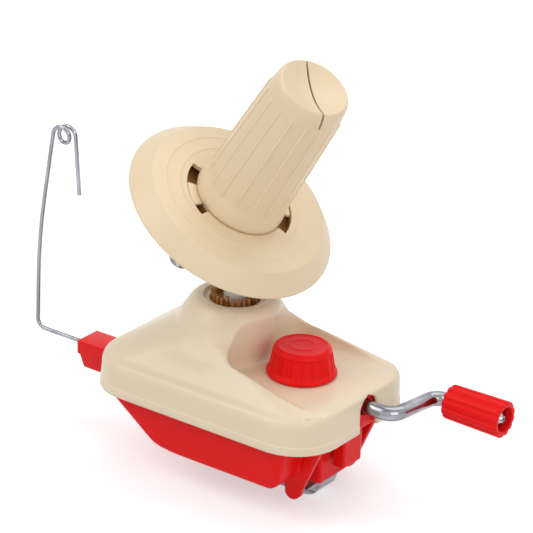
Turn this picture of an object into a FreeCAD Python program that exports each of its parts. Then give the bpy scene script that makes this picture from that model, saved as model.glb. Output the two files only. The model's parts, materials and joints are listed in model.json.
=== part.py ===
import FreeCAD, Part
import math
import os
from FreeCAD import Vector as V

# Hand-cranked yarn ball winder with a table clamp, in millimetres.
# The origin lies on the upright rotor axis in the plane of the base's flat underside.
# +X points to the crank, -Y to the front, +Z up.

# Red base
BASE_FRONT = -16.2
BASE_BACK = 57.0
BASE_SLOPE = 34.7
BASE_TOE = 6.0
BASE_TOE_RISE = 1.8
BASE_REAR = -56.0
BASE_HALF = 42.7
BASE_FLARE = 1.6
BASE_CORNER = 12.0
BASE_END_LEAN = 5.0
BASE_END_TURN = 4.5
BASE_HEIGHT = 26.4
BASE_WALL = 2.4
BASE_FLOOR = 3.0
LEDGE = 2.2
LEDGE_RIM = 2.2
LEDGE_DRAW = 0.35
BLOCK_HALF = 11.4
BLOCK_FACE = 66.0
BLOCK_DROP = 6.0
BLOCK_BACK = 56.5
CLAW_Y = 24.0
CLAW_THICK = 3.4
CLAW_TIP = -11.0
CLAW_TIP_X = 59.0
CLAW_WIDTH = 10.0
CLAW_LEAN = 23.0
CLAW_TOP = 24.0

# Cream cover
COVER_NEAR = 61.5
COVER_FAR = 84.3
COVER_HALF = 51.0
COVER_DRAFT = 0.9
COVER_CORNER = 26.0
SKIRT_BOTTOM = 26.0
SHOULDER_FOOT = 40.5
EAVES = 45.6
EAVES_NEAR = 4.2
EAVES_FAR = 0.8
EAVES_SIDE = 6.4
ROOF_TOP = 63.5
ROOF_RING = 28.8
PLATFORM = 47.6
COVER_WALL = 2.0
LIP_HEIGHT = 4.5
LIP_GROOVE = 0.35
NECK_TOP = 78.9
NECK_RING = 16.3
NECK_SHOULDER = 23.4
RING_SINK = 1.9
MOUTH_RADIUS = 13.0
POCKET_START = 16.0
POCKET_START_HALF = 30.0
POCKET_END = 80.0
POCKET_END_HALF = 38.3
SCOOP_FOOT = 20.5
SCOOP_HEAD = 25.6
SLOT_HALF = 7.6
SLOT_TOP = 44.6
NECK_WEB = 67.4
NECK_WEB_THICK = 2.4

# Screws that hold the cover to the base
SCREW_RADIUS = 1.4
SCREW_HEAD = 2.9
SCREW_HEAD_HEIGHT = 2.2
SCREW_SEAT = 8.0
SCREW_TOP = 43.0
BOSS_RADIUS = 4.6
BOSS_FRONT_X = -2.5
BOSS_FRONT_Y = 35.0
BOSS_BACK_X = 46.0
BOSS_BACK_Y = 33.0

# Running fit between a shaft and its bearing, measured on the radius
RUN = 0.05
FACE_GAP = 0.3

# Rotor and gears
ROTOR_REST = -3.5
ROTOR_SHAFT = 3.0
ROTOR_BOTTOM = 41.8
ROTOR_TOP = 112.0
PINION_TEETH = 10
PINION_RADIUS = 5.9
PINION_HEIGHT = 7.0
CROWN_TEETH = 40
CROWN_FACE = 3.6
CROWN_DISC = 3.6
PINION_HEAD = 1.0
CROWN_HEAD = 0.9
FOOT_GAP = 0.4
TOOTH_SHARE = 0.34
APEX = 131.9
TILT = 32.0
SUN_TEETH = 18
PLANET_TEETH = 14
CONE_OUT = 44.0
CONE_IN = 38.0
POST_RADIUS = 6.0
COLLAR_RADIUS = 12.8
COLLAR_TEETH = 25
COLLAR_TOOTH = 4.0
COLLAR_BODY = 6.4
ARM_HUB = 7.0
ARM_SLEEVE = 7.0
SLEEVE_TOP = 12.0
SLEEVE_BOTTOM = 35.4
BUSH_WALL = 1.6
BUSH_LENGTH = 6.0
ARM_WEB = 8.4
NUT_RADIUS = 4.6
NUT_HEIGHT = 2.4
WEIGHT_RADIUS = 5.6
WEIGHT_HEIGHT = 13.0
WEIGHT_SIDE = 19.4
WEIGHT_OUT = 0.5
WEIGHT_BOTTOM = 41.5
WEIGHT_DOME = 2.4
WEIGHT_SCREW = 1.5
LUG_HEIGHT = 4.0

# Saucer and spool, measured along the spool axis from the rim plane
RIM_DROP = 9.8
SAUCER_RADIUS = 57.5
SAUCER_WALL = 1.8
CREASE_RADIUS = 48.9
CREASE_RISE = 10.3
PLATE_RISE = 0.7
SEAT_RADIUS = 24.9
SEAT_SINK = 0.6
HUB_RADIUS = 8.0
HUB_BOTTOM = 2.0
SPOOL_BASE = 24.5
SPOOL_FOOT = 22.6
SPOOL_FLARE = 12.0
SPOOL_HEAD = 20.4
SPOOL_RIM = 18.1
SPOOL_TOP = 96.9
SPOOL_COLLAR = 9.8
SPOOL_WALL = 2.2
SPOOL_RIBS = 16
RIB_RAISE = 0.8
RIB_WIDTH = 1.0
DISH_DEPTH = 4.5
DISH_RADIUS = 17.4
SLIT_WIDTH = 1.1
SLIT_AT = -30.4
SLIT_LEAN = 9.0
SPINDLE_RADIUS = 3.0
SPINDLE_TOP = 30.0
WINDOW_INNER = 23.0
WINDOW_OUTER = 29.7
WINDOW_ANGLE = 73.0
WINDOW_AT = 53.5
CHANNEL_BOTTOM = 2.6
CHANNEL_WALL = 1.4
LUG_START = 226.0
LUG_ANGLE = 34.0
LUG_OUTER = 29.1
LUG_DROP = 1.8

# Crank
CRANK_Y = 4.8
CRANK_Z = 37.8
CRANK_RADIUS = 3.0
ROD_RADIUS = 4.0
CRANK_BEND_X = 97.9
CRANK_THROW = 33.5
CRANK_SLANT = 8.0
CRANK_BEND_RADIUS = 7.5
GRIP_START = 111.0
GRIP_LENGTH = 33.9
GRIP_INNER = 9.3
GRIP_OUTER = 9.9
GRIP_RIBS = 12
RIB_DEPTH = 0.8
GRIP_RECESS = 6.6
GRIP_RECESS_DEPTH = 5.0
GRIP_SCREW = 1.5
GRIP_SCREW_LENGTH = 12.0
WASHER = 1.0
POST_WIDTH = 7.0
POST_SIDE = 8.0

# Clamp
KNOB_X = 44.5
KNOB_Y = -0.8
KNOB_FLANGE = 18.5
KNOB_TOP_RADIUS = 14.5
KNOB_HEIGHT = 15.9
KNOB_FLUTES = 20
KNOB_LIFT = 0.2
SLEEVE_RADIUS = 4.6
SLEEVE_DROP = 42.0
BOLT_RADIUS = 2.25
BOLT_TOP = 59.0
JAW_HALF = 7.5
JAW_THICK = 2.5
JAW_BOTTOM = -16.7
JAW_BEND = 10.0
JAW_BACK = 64.2
JAW_LENGTH = 56.0
JAW_STEM_TOP = 22.0
PAD_THICK = 2.0
PAD_LENGTH = 16.0

# Yarn guide
WIRE_RADIUS = 1.15
WIRE_HEIGHT = 20.5
WIRE_LEAN = 8.2
WIRE_BEND = 5.0
WIRE_BOW = 360.0
WIRE_CORNER_X = -132.0
EYE_RADIUS = 4.5
EYE_PITCH = 3.0
EYE_SHIFT = 1.8
EYE_CENTRE_X = -118.4
EYE_CENTRE_Z = 136.2
TAIL_LEAN = 5.5
TAIL_LENGTH = 33.5
ARM_END = -97.7
ARM_HALF = 8.5
ARM_TOP = 25.3
ARM_STEP = 7.5
ARM_BOTTOM = 10.9
ARM_NOSE = 4.8
STEM_DEPTH = 26.0

X = V(1, 0, 0)
Y = V(0, 1, 0)
Z = V(0, 0, 1)
ORIGIN = V(0, 0, 0)


def cylinder(radius, height, base, axis=Z):
    return Part.makeCylinder(radius, height, base, axis)


def ring(outer, inner, height, base, axis=Z):
    return cylinder(outer, height, base, axis).cut(cylinder(inner, height, base, axis))


def box(x0, x1, y0, y1, z0, z1):
    return Part.makeBox(x1 - x0, y1 - y0, z1 - z0, V(x0, y0, z0))


def polygon(points):
    return Part.Wire(Part.makePolygon(list(points) + [points[0]]))


def prism(points, direction):
    return Part.Face(polygon(points)).extrude(direction)


def side_prism(outline, half):
    """Extrude an outline of (x, z) pairs to both sides of the middle plane."""
    return prism([V(x, -half, z) for x, z in outline], V(0, 2 * half, 0))


def turned(outline):
    """Turn an outline of (radius, height) pairs about Z."""
    return Part.Face(polygon([V(r, 0, z) for r, z in outline])).revolve(ORIGIN, Z, 360)


def domed(radius, height, dome):
    """Cylinder along Z on the origin plane whose lower end bulges down by the dome."""
    middle = radius * 0.6
    ball = (radius ** 2 + dome ** 2) / (2 * dome)
    drop = math.sqrt(ball ** 2 - middle ** 2) - (ball - dome)
    arc = Part.Arc(V(0, 0, -dome), V(middle, 0, -drop), V(radius, 0, 0)).toShape()
    rest = Part.makePolygon([V(radius, 0, 0), V(radius, 0, height), V(0, 0, height), V(0, 0, -dome)])
    return Part.Face(Part.Wire([arc] + rest.Edges)).revolve(ORIGIN, Z, 360)


def sector(outer, inner, start, angle, low, high):
    """Part of a ring between two heights, from a start angle onwards."""
    outline = [Z * low]
    for share in (0, 0.5, 1):
        a = math.radians(start + angle * share)
        outline.append(V(2 * outer * math.cos(a), 2 * outer * math.sin(a), low))
    return ring(outer, inner, high - low, Z * low).common(prism(outline, Z * (high - low)))


def fuse(shapes):
    return shapes[0].multiFuse(shapes[1:]).removeSplitter()


def rounded_outline(x0, x1, half, radius, z):
    """Closed wire of a rectangle with round corners at height z."""
    edges = []
    corners = [(x1 - radius, half - radius, 0), (x0 + radius, half - radius, 90),
               (x0 + radius, radius - half, 180), (x1 - radius, radius - half, 270)]
    ends = []
    for cx, cy, start in corners:
        a, m, b = [math.radians(start + t) for t in (0, 45, 90)]
        pts = [V(cx + radius * math.cos(t), cy + radius * math.sin(t), z) for t in (a, m, b)]
        ends.append(pts)
    for k, pts in enumerate(ends):
        edges.append(Part.Arc(*pts).toShape())
        after = ends[(k + 1) % 4][0]
        if pts[2].distanceToPoint(after) > 1e-6:
            edges.append(Part.LineSegment(pts[2], after).toShape())
    return Part.Wire(edges)


def loft(wires, ruled=True):
    return Part.makeLoft(wires, True, ruled)


def direction(angle):
    """Unit vector in the XZ plane, leaning from +Z toward +X by the angle."""
    return V(math.sin(math.radians(angle)), 0, math.cos(math.radians(angle)))


def arc_edge(start, tangent, end):
    """Arc that leaves start along the tangent and reaches end."""
    chord = end - start
    along = V(chord).normalize()
    side = tangent - along * tangent.dot(along)
    turn = tangent.getAngle(chord)
    side.normalize()
    middle = start + chord * 0.5 + side * (chord.Length / 2 * math.tan(turn / 2))
    return Part.Arc(start, middle, end).toShape()


def bent_path(points, radii):
    """Straight runs through the points, joined at each corner by a tangent arc."""
    edges = []
    last = points[0]
    for before, corner, after, radius in zip(points, points[1:], points[2:], radii):
        d1 = (corner - before).normalize()
        d2 = (after - corner).normalize()
        cut = radius * math.tan(d1.getAngle(d2) / 2)
        a = corner - d1 * cut
        b = corner + d2 * cut
        edges.append(Part.LineSegment(last, a).toShape())
        edges.append(arc_edge(a, d1, b))
        last = b
    edges.append(Part.LineSegment(last, points[-1]).toShape())
    return edges


def tube(edges, radius):
    """Round bar swept along tangent edges."""
    path = Part.Wire(edges)
    first = edges[0]
    start = first.valueAt(first.FirstParameter)
    tangent = first.tangentAt(first.FirstParameter)
    section = Part.Wire(Part.makeCircle(radius, start, tangent))
    return path.makePipeShell([section], True, False)


def screw(head_radius, head_height, shank_radius, length, seat, axis):
    """Round-headed screw: the head's underside lies at the seat, the shank runs along the axis."""
    axis = V(axis).normalize()
    shank = cylinder(shank_radius, length, seat, axis)
    head = cylinder(head_radius, head_height * 0.45, seat - axis * (head_height * 0.45), axis)
    crown = Part.makeCone(head_radius * 0.55, head_radius, head_height * 0.55,
                          seat - axis * head_height, axis)
    slot = box(-head_radius, head_radius, -0.35, 0.35, -0.01, 0.6)
    cross = slot.fuse(box(-0.35, 0.35, -head_radius * 0.7, head_radius * 0.7, -0.01, 0.6))
    cross.Placement = FreeCAD.Placement(seat - axis * head_height, FreeCAD.Rotation(Z, axis))
    return fuse([shank, head, crown]).cut(cross)


# Gear teeth
def tooth_outline(teeth, radius, head, foot, z, phase=0.0, share=TOOTH_SHARE):
    """Closed outline of a toothed wheel with straight-sided teeth around Z."""
    step = 2 * math.pi / teeth
    points = []
    for k in range(teeth):
        middle = phase + k * step
        for r, part in ((radius - foot, -share * 0.72), (radius + head, -share * 0.27),
                        (radius + head, share * 0.27), (radius - foot, share * 0.72)):
            a = middle + part * step
            points.append(V(r * math.cos(a), r * math.sin(a), z))
    return polygon(points)


def cone_angles():
    """Half angles of the sun and planet pitch cones, which share the apex."""
    tilt = math.radians(TILT)
    planet = math.atan2(math.sin(tilt), SUN_TEETH / PLANET_TEETH + math.cos(tilt))
    return tilt - planet, planet


def bevel(teeth, half_angle, phase, bore):
    """Bevel wheel under an apex at the origin, with its axis along Z."""
    wires = []
    for length in (CONE_OUT, CONE_IN):
        depth = length * math.cos(half_angle)
        radius = length * math.sin(half_angle)
        module = 2 * radius / teeth
        wires.append(tooth_outline(teeth, radius, 0.75 * module, 1.1 * module, -depth, phase))
    depth_out = CONE_OUT * math.cos(half_angle)
    return loft(wires).cut(cylinder(bore, CONE_OUT, V(0, 0, -depth_out - 1)))


TILT_AXIS = direction(TILT)
APEX_POINT = V(0, 0, APEX)
SUN_CONE, PLANET_CONE = cone_angles()


def on_rotor(shape):
    """Turn a rotor piece from the XZ plane to where it rests."""
    shape.rotate(ORIGIN, Z, ROTOR_REST)
    return shape


def on_spool(shape):
    """Move a piece built along Z with the apex at the origin onto the spool axis."""
    shape.rotate(ORIGIN, Y, TILT)
    shape.translate(APEX_POINT)
    return on_rotor(shape)


def from_rim(shape):
    """Move a piece built along Z above the rim plane onto the spool axis."""
    shape.translate(V(0, 0, -RIM_DROP))
    return on_spool(shape)


# Base
def end_wall(z):
    """Place along X of the base's end wall at height z."""
    lean = BASE_END_LEAN * 0.75 / (BASE_HEIGHT - BASE_END_TURN)
    return BASE_BACK + BASE_END_LEAN + lean * (z - BASE_END_TURN)


def slope_wall(z):
    """Place along X of the base's sloping wall at height z."""
    return BASE_FRONT - z * BASE_SLOPE / BASE_HEIGHT


def base_outline(inset, low, top):
    """Side outline of the base, (x, z), drawn in by the inset, between two heights."""
    shift = inset * math.hypot(BASE_HEIGHT, BASE_SLOPE) / BASE_HEIGHT
    turn = low + BASE_END_TURN
    toe = low + BASE_TOE_RISE
    return [(slope_wall(low) + shift + BASE_TOE, low), (BASE_BACK - inset * 0.4, low),
            (end_wall(turn) - inset, turn), (end_wall(top) - inset, top),
            (slope_wall(top) + shift, top), (slope_wall(toe) + shift, toe)]


def base_body(inset, low, top):
    bottom = BASE_HALF - inset
    wide = bottom + BASE_FLARE * (top - low) / (BASE_HEIGHT - low)
    plan = loft([rounded_outline(BASE_REAR, 70 - inset, bottom, BASE_CORNER, low),
                 rounded_outline(BASE_REAR, 70 - inset, wide, BASE_CORNER, top)])
    return plan.common(side_prism(base_outline(inset, low, top), BASE_HALF + 20))


def ledge_plan(inset, z):
    gap = COVER_WALL + FACE_GAP + LEDGE_DRAW + inset
    return rounded_outline(gap - COVER_NEAR, COVER_FAR - gap, COVER_HALF - gap - 0.2,
                           COVER_CORNER - gap, z)


def claw(side):
    """Leaning hook beside the clamp, with a round tip."""
    lean = math.tan(math.radians(CLAW_LEAN))
    tip = CLAW_WIDTH / 2
    centre = V(CLAW_TIP_X, 0, CLAW_TIP + tip)
    rise = CLAW_TOP - centre.z
    outline = [(centre.x - tip, centre.z), (centre.x + tip, centre.z),
               (centre.x + tip + rise * lean, CLAW_TOP), (centre.x - tip - 2, CLAW_TOP),
               (centre.x - tip - 4, BASE_FLOOR)]
    blade = side_prism(outline, CLAW_THICK / 2)
    nose = cylinder(tip, CLAW_THICK, centre - Y * (CLAW_THICK / 2), Y)
    shape = fuse([blade, nose])
    shape.translate(V(0, side * CLAW_Y, 0))
    return shape


def bearing_post(x):
    """Upright post on the base floor that carries a crank bush."""
    top = CRANK_Z + CRANK_RADIUS + BUSH_WALL + 1.6
    post = box(x, x + POST_WIDTH, CRANK_Y - POST_SIDE, CRANK_Y + POST_SIDE, BASE_FLOOR - 0.5, top)
    bore = cylinder(CRANK_RADIUS + BUSH_WALL, POST_WIDTH, V(x, CRANK_Y, CRANK_Z), X)
    return post.cut(bore)


POST_X = (17.0, 68.0)
BOSSES = [(BOSS_FRONT_X, -BOSS_FRONT_Y), (BOSS_FRONT_X, BOSS_FRONT_Y),
          (BOSS_BACK_X, -BOSS_BACK_Y), (BOSS_BACK_X, BOSS_BACK_Y)]
BOSS_SPLIT = BASE_HEIGHT + 1.6


def jaw_slot(gap):
    """Space for the clamp jaw's stem, wider than the stem by the gap all round."""
    return box(JAW_BACK - JAW_THICK - gap, JAW_BACK + gap, -JAW_HALF - gap, JAW_HALF + gap,
               -BLOCK_DROP - 1, PLATFORM)


def base_shell():
    shell = base_body(0, 0, BASE_HEIGHT)
    rim = [loft([ledge_plan(0, BASE_HEIGHT), ledge_plan(0, BASE_HEIGHT + LEDGE)]),
           loft([ledge_plan(0, BASE_HEIGHT), ledge_plan(0, BASE_HEIGHT + LEDGE + LEDGE_RIM)])]
    inside = loft([ledge_plan(BASE_WALL, BASE_HEIGHT + LEDGE),
                   ledge_plan(BASE_WALL, BASE_HEIGHT + LEDGE + LEDGE_RIM)])
    shell = fuse([shell, rim[1].cut(inside)])
    block = box(BLOCK_BACK, BLOCK_FACE, -BLOCK_HALF, BLOCK_HALF, -BLOCK_DROP, BASE_HEIGHT + 0.9)
    block = block.makeFillet(1.8, [e for e in block.Edges if abs(e.tangentAt(0).z) > 0.9
                                   and e.CenterOfMass.x > BLOCK_FACE - 1])
    shell = fuse([shell, block, claw(-1), claw(1)])
    shell = shell.cut(base_body(BASE_WALL, BASE_FLOOR, BASE_HEIGHT + LEDGE + 1))
    adds = [block]
    for x, y in BOSSES:
        adds.append(cylinder(BOSS_RADIUS, BOSS_SPLIT, V(x, y, 0)))
    for x in POST_X:
        adds.append(bearing_post(x))
    shell = fuse([shell] + adds)
    for x, y in BOSSES:
        shell = shell.cut(cylinder(SCREW_RADIUS + 0.3, BOSS_SPLIT + 1, V(x, y, -0.5)))
        shell = shell.cut(cylinder(SCREW_HEAD + 0.3, SCREW_SEAT + 0.5, V(x, y, -0.5)))
    shell = shell.cut(jaw_slot(FACE_GAP))
    shell = shell.cut(cylinder(BOLT_RADIUS + 0.6, BASE_FLOOR + 2, V(KNOB_X, KNOB_Y, -1)))
    return shell


# Cover
def skirt_outline(z, near, far, side, inset):
    """Outline of the cover at height z, drawn in at the guide end, the crank end and the sides."""
    return rounded_outline(near + inset - COVER_NEAR, COVER_FAR - far - inset,
                           COVER_HALF - side - inset, COVER_CORNER - side - inset, z)


def neck_profile(inset):
    """Neck of the cover above the roof, (radius, height)."""
    top = NECK_TOP - inset
    wide = NECK_SHOULDER - inset
    low = ROOF_TOP - inset * 0.8
    return [(0, low - 3), (ROOF_RING - inset, low - 3), (ROOF_RING - inset, low),
            (wide + 3.9, low + 4.0), (wide + 2.6, low + 7.5), (wide + 1.2, top - 4.4),
            (wide - 0.1, top - 2.2), (wide - 1.6, top - 0.7), (wide - 3.4, top), (0, top)]


def cover_body(inset):
    """Outer or inner form of the cover, drawn in by the inset."""
    fall = inset * 0.8
    low = SKIRT_BOTTOM - (1 if inset else 0)
    draft = COVER_DRAFT
    shoulder = EAVES - (EAVES - SHOULDER_FOOT) * 0.43
    wires = [skirt_outline(low, 0, 0, 0, inset),
             skirt_outline(SHOULDER_FOOT - fall, draft, draft * 0.3, draft, inset),
             skirt_outline(shoulder - fall, EAVES_NEAR * 0.45, EAVES_FAR * 0.6, EAVES_SIDE * 0.38, inset),
             skirt_outline(EAVES - fall, EAVES_NEAR, EAVES_FAR, EAVES_SIDE, inset)]
    ring_radius = ROOF_RING - inset
    wires.append(rounded_outline(-ring_radius, ring_radius, ring_radius, ring_radius - 0.4, ROOF_TOP - fall))
    body = fuse([loft([a, b]) for a, b in zip(wires, wires[1:])] + [turned(neck_profile(inset))])
    floor = PLATFORM - inset
    slope = (POCKET_END_HALF - POCKET_START_HALF) / (POCKET_END - POCKET_START)
    start = POCKET_START_HALF + inset
    far = POCKET_END + 20
    end = POCKET_END_HALF + slope * 20 + inset
    back = POCKET_START - inset
    pocket = prism([V(back, -start, floor), V(far, -end, floor), V(far, end, floor), V(back, start, floor)],
                   Z * 40)
    scoop = Part.makeCone(SCOOP_FOOT - inset, SCOOP_HEAD - inset, NECK_TOP - PLATFORM, V(0, 0, floor))
    top = cylinder(SCOOP_HEAD + 4, 20, V(0, 0, NECK_TOP - 6))
    return body.cut(pocket.cut(scoop).cut(top))


def crank_slot(gap):
    """Arched slot in the cover's end for the crank."""
    round_z = SLOT_TOP - SLOT_HALF + gap
    half = SLOT_HALF + gap
    arch = cylinder(half, 30, V(COVER_FAR - 20, CRANK_Y - 0.6, round_z), X)
    leg = box(COVER_FAR - 20, COVER_FAR + 10, CRANK_Y - 0.6 - half, CRANK_Y - 0.6 + half,
              SKIRT_BOTTOM - 5, round_z)
    return arch.fuse(leg)


def lip_groove():
    """Shallow groove round the skirt above its lip."""
    low = SKIRT_BOTTOM + LIP_HEIGHT
    slabs = []
    for inset in (-1.0, LIP_GROOVE + COVER_DRAFT * LIP_HEIGHT / (SHOULDER_FOOT - SKIRT_BOTTOM)):
        slabs.append(loft([skirt_outline(z, 0, 0, 0, inset) for z in (low, low + 0.5)]))
    return slabs[0].cut(slabs[1])


def top_cover():
    outer = cover_body(0)
    shell = outer.cut(cover_body(COVER_WALL))
    ring_cut = cylinder(NECK_RING, RING_SINK + 1, V(0, 0, NECK_TOP - RING_SINK))
    mouth = cylinder(MOUTH_RADIUS, 30, V(0, 0, NECK_WEB + NECK_WEB_THICK))
    web = cylinder(NECK_SHOULDER, NECK_TOP - RING_SINK - NECK_WEB, V(0, 0, NECK_WEB)).common(outer)
    adds = [web]
    for x, y in BOSSES:
        boss = cylinder(BOSS_RADIUS - 0.4, 60, V(x, y, BOSS_SPLIT + 0.05))
        adds.append(boss.common(outer))
    shell = fuse([shell] + adds)
    shell = shell.cut(ring_cut).cut(mouth)
    shell = shell.cut(cylinder(POST_RADIUS, 20, V(0, 0, NECK_WEB - 1)))
    for x, y in BOSSES:
        shell = shell.cut(cylinder(SCREW_RADIUS + 0.03, SCREW_TOP + 0.5 - BOSS_SPLIT, V(x, y, BOSS_SPLIT)))
    shell = shell.cut(crank_slot(0))
    shell = shell.cut(lip_groove())
    return shell.cut(cylinder(SLEEVE_RADIUS + 0.3, 10, V(KNOB_X, KNOB_Y, PLATFORM - 6)))


# Fixed gear train parts
def neck_collar():
    bottom = NECK_WEB + NECK_WEB_THICK
    body = ring(COLLAR_RADIUS, POST_RADIUS, COLLAR_BODY, V(0, 0, bottom))
    teeth = []
    step = 2 * math.pi / COLLAR_TEETH
    for k in range(COLLAR_TEETH):
        height = COLLAR_TOOTH + (1.6 if k % 5 == 0 else 0)
        tooth = box(COLLAR_RADIUS - 2.6, COLLAR_RADIUS - 0.2, -0.8, 0.8, bottom + COLLAR_BODY - 0.2,
                    bottom + COLLAR_BODY + height)
        tooth.rotate(ORIGIN, Z, math.degrees(k * step) - 75)
        teeth.append(tooth)
    return fuse([body] + teeth)


SUN_TOP = APEX - CONE_IN * math.cos(SUN_CONE)
SUN_BOTTOM = APEX - CONE_OUT * math.cos(SUN_CONE)


def sun_post():
    tube_part = ring(POST_RADIUS, ROTOR_SHAFT + RUN, SUN_TOP - NECK_WEB - 0.2, V(0, 0, NECK_WEB - 0.8))
    flange = ring(POST_RADIUS + 4, ROTOR_SHAFT + RUN, 1.6, V(0, 0, NECK_WEB - 1.6))
    shoulder = ring(POST_RADIUS + 2, ROTOR_SHAFT + RUN, 2.0, V(0, 0, SUN_BOTTOM - 2.0))
    return fuse([tube_part, flange, shoulder])


def sun_gear():
    gear = bevel(SUN_TEETH, SUN_CONE, math.pi, POST_RADIUS)
    gear.translate(APEX_POINT)
    return on_rotor(gear)


BEARING_TOP = 49.0
BEARING_LOW = 40.0


def foot_bearing():
    """Pillar on the base floor that carries the rotor's foot."""
    head = box(-8.5, 6.4, -7.5, 7.5, BEARING_LOW, BEARING_TOP)
    leg = box(-8.5, 4.0, -6.0, 6.0, BASE_FLOOR, BEARING_LOW)
    foot = box(-8.5, 12.0, -6.0, 6.0, BASE_FLOOR, BASE_FLOOR + 3)
    pillar = fuse([head, leg, foot])
    return pillar.cut(cylinder(ROTOR_SHAFT + BUSH_WALL, 20, V(0, 0, BEARING_LOW + 1.5)))


def foot_bush():
    low = BEARING_LOW + 1.5
    body = ring(ROTOR_SHAFT + BUSH_WALL, ROTOR_SHAFT + RUN, BEARING_TOP - low, V(0, 0, low))
    flange = ring(ROTOR_SHAFT + BUSH_WALL + 1.4, ROTOR_SHAFT + RUN, 1.0, V(0, 0, BEARING_TOP))
    return fuse([body, flange])


def crank_bush(x):
    return ring(CRANK_RADIUS + BUSH_WALL, CRANK_RADIUS + RUN, POST_WIDTH, V(x, CRANK_Y, CRANK_Z), X)


# Rotor
PINION_MID = CRANK_Z + PINION_RADIUS * CROWN_TEETH / PINION_TEETH


def rotor_shaft():
    return cylinder(ROTOR_SHAFT, ROTOR_TOP - ROTOR_BOTTOM, V(0, 0, ROTOR_BOTTOM))


def pinion():
    low = PINION_MID - PINION_HEIGHT / 2
    foot = CROWN_HEAD + FOOT_GAP
    phase = math.pi / PINION_TEETH
    wires = [tooth_outline(PINION_TEETH, PINION_RADIUS, PINION_HEAD, foot, z, phase)
             for z in (low, low + PINION_HEIGHT)]
    return loft(wires).cut(cylinder(ROTOR_SHAFT, 30, V(0, 0, low - 5)))


def spacer():
    """Sleeve on the rotor shaft between the foot bearing and the pinion."""
    low = BEARING_TOP + 1.1
    return ring(ROTOR_SHAFT + 1.2, ROTOR_SHAFT, PINION_MID - PINION_HEIGHT / 2 - low, V(0, 0, low))


def along_spool(depth, out=0.0, side=0.0):
    """Point below the apex on the spool axis, moved outward and sideways, before the rotor's turn."""
    outward = V(-math.cos(math.radians(TILT)), 0, math.sin(math.radians(TILT)))
    return APEX_POINT - TILT_AXIS * depth + outward * out + V(0, -side, 0)


HUB_LOW = SUN_TOP + 1.6
HUB_TOP = ROTOR_TOP - NUT_HEIGHT - 0.8


def rotor_arm():
    """Casting on the rotor shaft with the spool's slanted bearing and two lugs for weights."""
    hub = cylinder(ARM_HUB, HUB_TOP - HUB_LOW, V(0, 0, HUB_LOW))
    sleeve = cylinder(ARM_SLEEVE, SLEEVE_BOTTOM - SLEEVE_TOP, along_spool(SLEEVE_BOTTOM), TILT_AXIS)
    low = along_spool(SLEEVE_BOTTOM - 1.0)
    high = along_spool(SLEEVE_TOP + 4.0)
    web = side_prism([(0, HUB_LOW + 0.4), (low.x, low.z), (high.x, high.z), (0, HUB_TOP)], ARM_WEB / 2)
    seat = WEIGHT_BOTTOM - WEIGHT_HEIGHT
    lugs = [cylinder(WEIGHT_RADIUS, LUG_HEIGHT, along_spool(seat, WEIGHT_OUT, side * WEIGHT_SIDE), TILT_AXIS)
            for side in (-1, 1)]
    beam = box(1 - WEIGHT_RADIUS, WEIGHT_RADIUS - 1, -WEIGHT_SIDE, WEIGHT_SIDE, 0, LUG_HEIGHT)
    beam.rotate(ORIGIN, Y, TILT)
    beam.translate(along_spool(seat, WEIGHT_OUT))
    arm = fuse([hub, sleeve, web, beam] + lugs)
    arm = arm.cut(cylinder(ROTOR_SHAFT, 40, V(0, 0, HUB_LOW - 5)))
    arm = arm.cut(cylinder(NUT_RADIUS + 0.6, NUT_HEIGHT + 2, V(0, 0, HUB_TOP)))
    arm = arm.cut(cylinder(SPINDLE_RADIUS + BUSH_WALL, SLEEVE_BOTTOM, along_spool(SLEEVE_BOTTOM), TILT_AXIS))
    for side in (-1, 1):
        start = along_spool(WEIGHT_BOTTOM, WEIGHT_OUT, side * WEIGHT_SIDE)
        arm = arm.cut(cylinder(WEIGHT_SCREW, WEIGHT_HEIGHT + LUG_HEIGHT, start, TILT_AXIS))
    return on_rotor(arm)


def arm_bush(depth):
    """Bush in the arm's sleeve, from the depth upward along the spool axis."""
    return on_rotor(ring(SPINDLE_RADIUS + BUSH_WALL, SPINDLE_RADIUS + RUN, BUSH_LENGTH,
                         along_spool(depth), TILT_AXIS))


def balance_weight(side):
    """Steel weight under the arm's lug, with a domed lower end."""
    weight = domed(WEIGHT_RADIUS, WEIGHT_HEIGHT, WEIGHT_DOME)
    weight = weight.cut(cylinder(WEIGHT_SCREW, WEIGHT_HEIGHT, V(0, 0, 1.5)))
    weight.rotate(ORIGIN, Y, TILT)
    weight.translate(along_spool(WEIGHT_BOTTOM, WEIGHT_OUT, side * WEIGHT_SIDE))
    return on_rotor(weight)


def weight_screw(side):
    """Screw from the arm's lug down into the weight."""
    seat = along_spool(WEIGHT_BOTTOM - WEIGHT_HEIGHT - LUG_HEIGHT, WEIGHT_OUT, side * WEIGHT_SIDE)
    return on_rotor(screw(2.8, 2.0, WEIGHT_SCREW, LUG_HEIGHT + WEIGHT_HEIGHT - 3, seat, TILT_AXIS * -1))


def hex_nut(radius, height, bore):
    """Hexagon nut standing on the origin plane."""
    corners = [math.radians(60 * k) for k in range(6)]
    nut = prism([V(radius * math.cos(a), radius * math.sin(a), 0) for a in corners], Z * height)
    return nut.cut(cylinder(bore, height, ORIGIN))


def arm_nut():
    nut = hex_nut(NUT_RADIUS, NUT_HEIGHT, ROTOR_SHAFT)
    nut.translate(V(0, 0, HUB_TOP))
    return nut


# Spool body, built with the apex at the origin
def spindle():
    low = CONE_OUT * math.cos(PLANET_CONE) + 0.6
    rod = cylinder(SPINDLE_RADIUS, low + SPINDLE_TOP - RIM_DROP, V(0, 0, -low))
    return on_spool(rod)


def planet_gear():
    return on_spool(bevel(PLANET_TEETH, PLANET_CONE, math.pi + math.pi / PLANET_TEETH, SPINDLE_RADIUS))


def planet_nut():
    depth = CONE_OUT * math.cos(PLANET_CONE)
    return on_spool(ring(4.6, SPINDLE_RADIUS, 2.0, V(0, 0, -depth - 2.0)))


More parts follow.
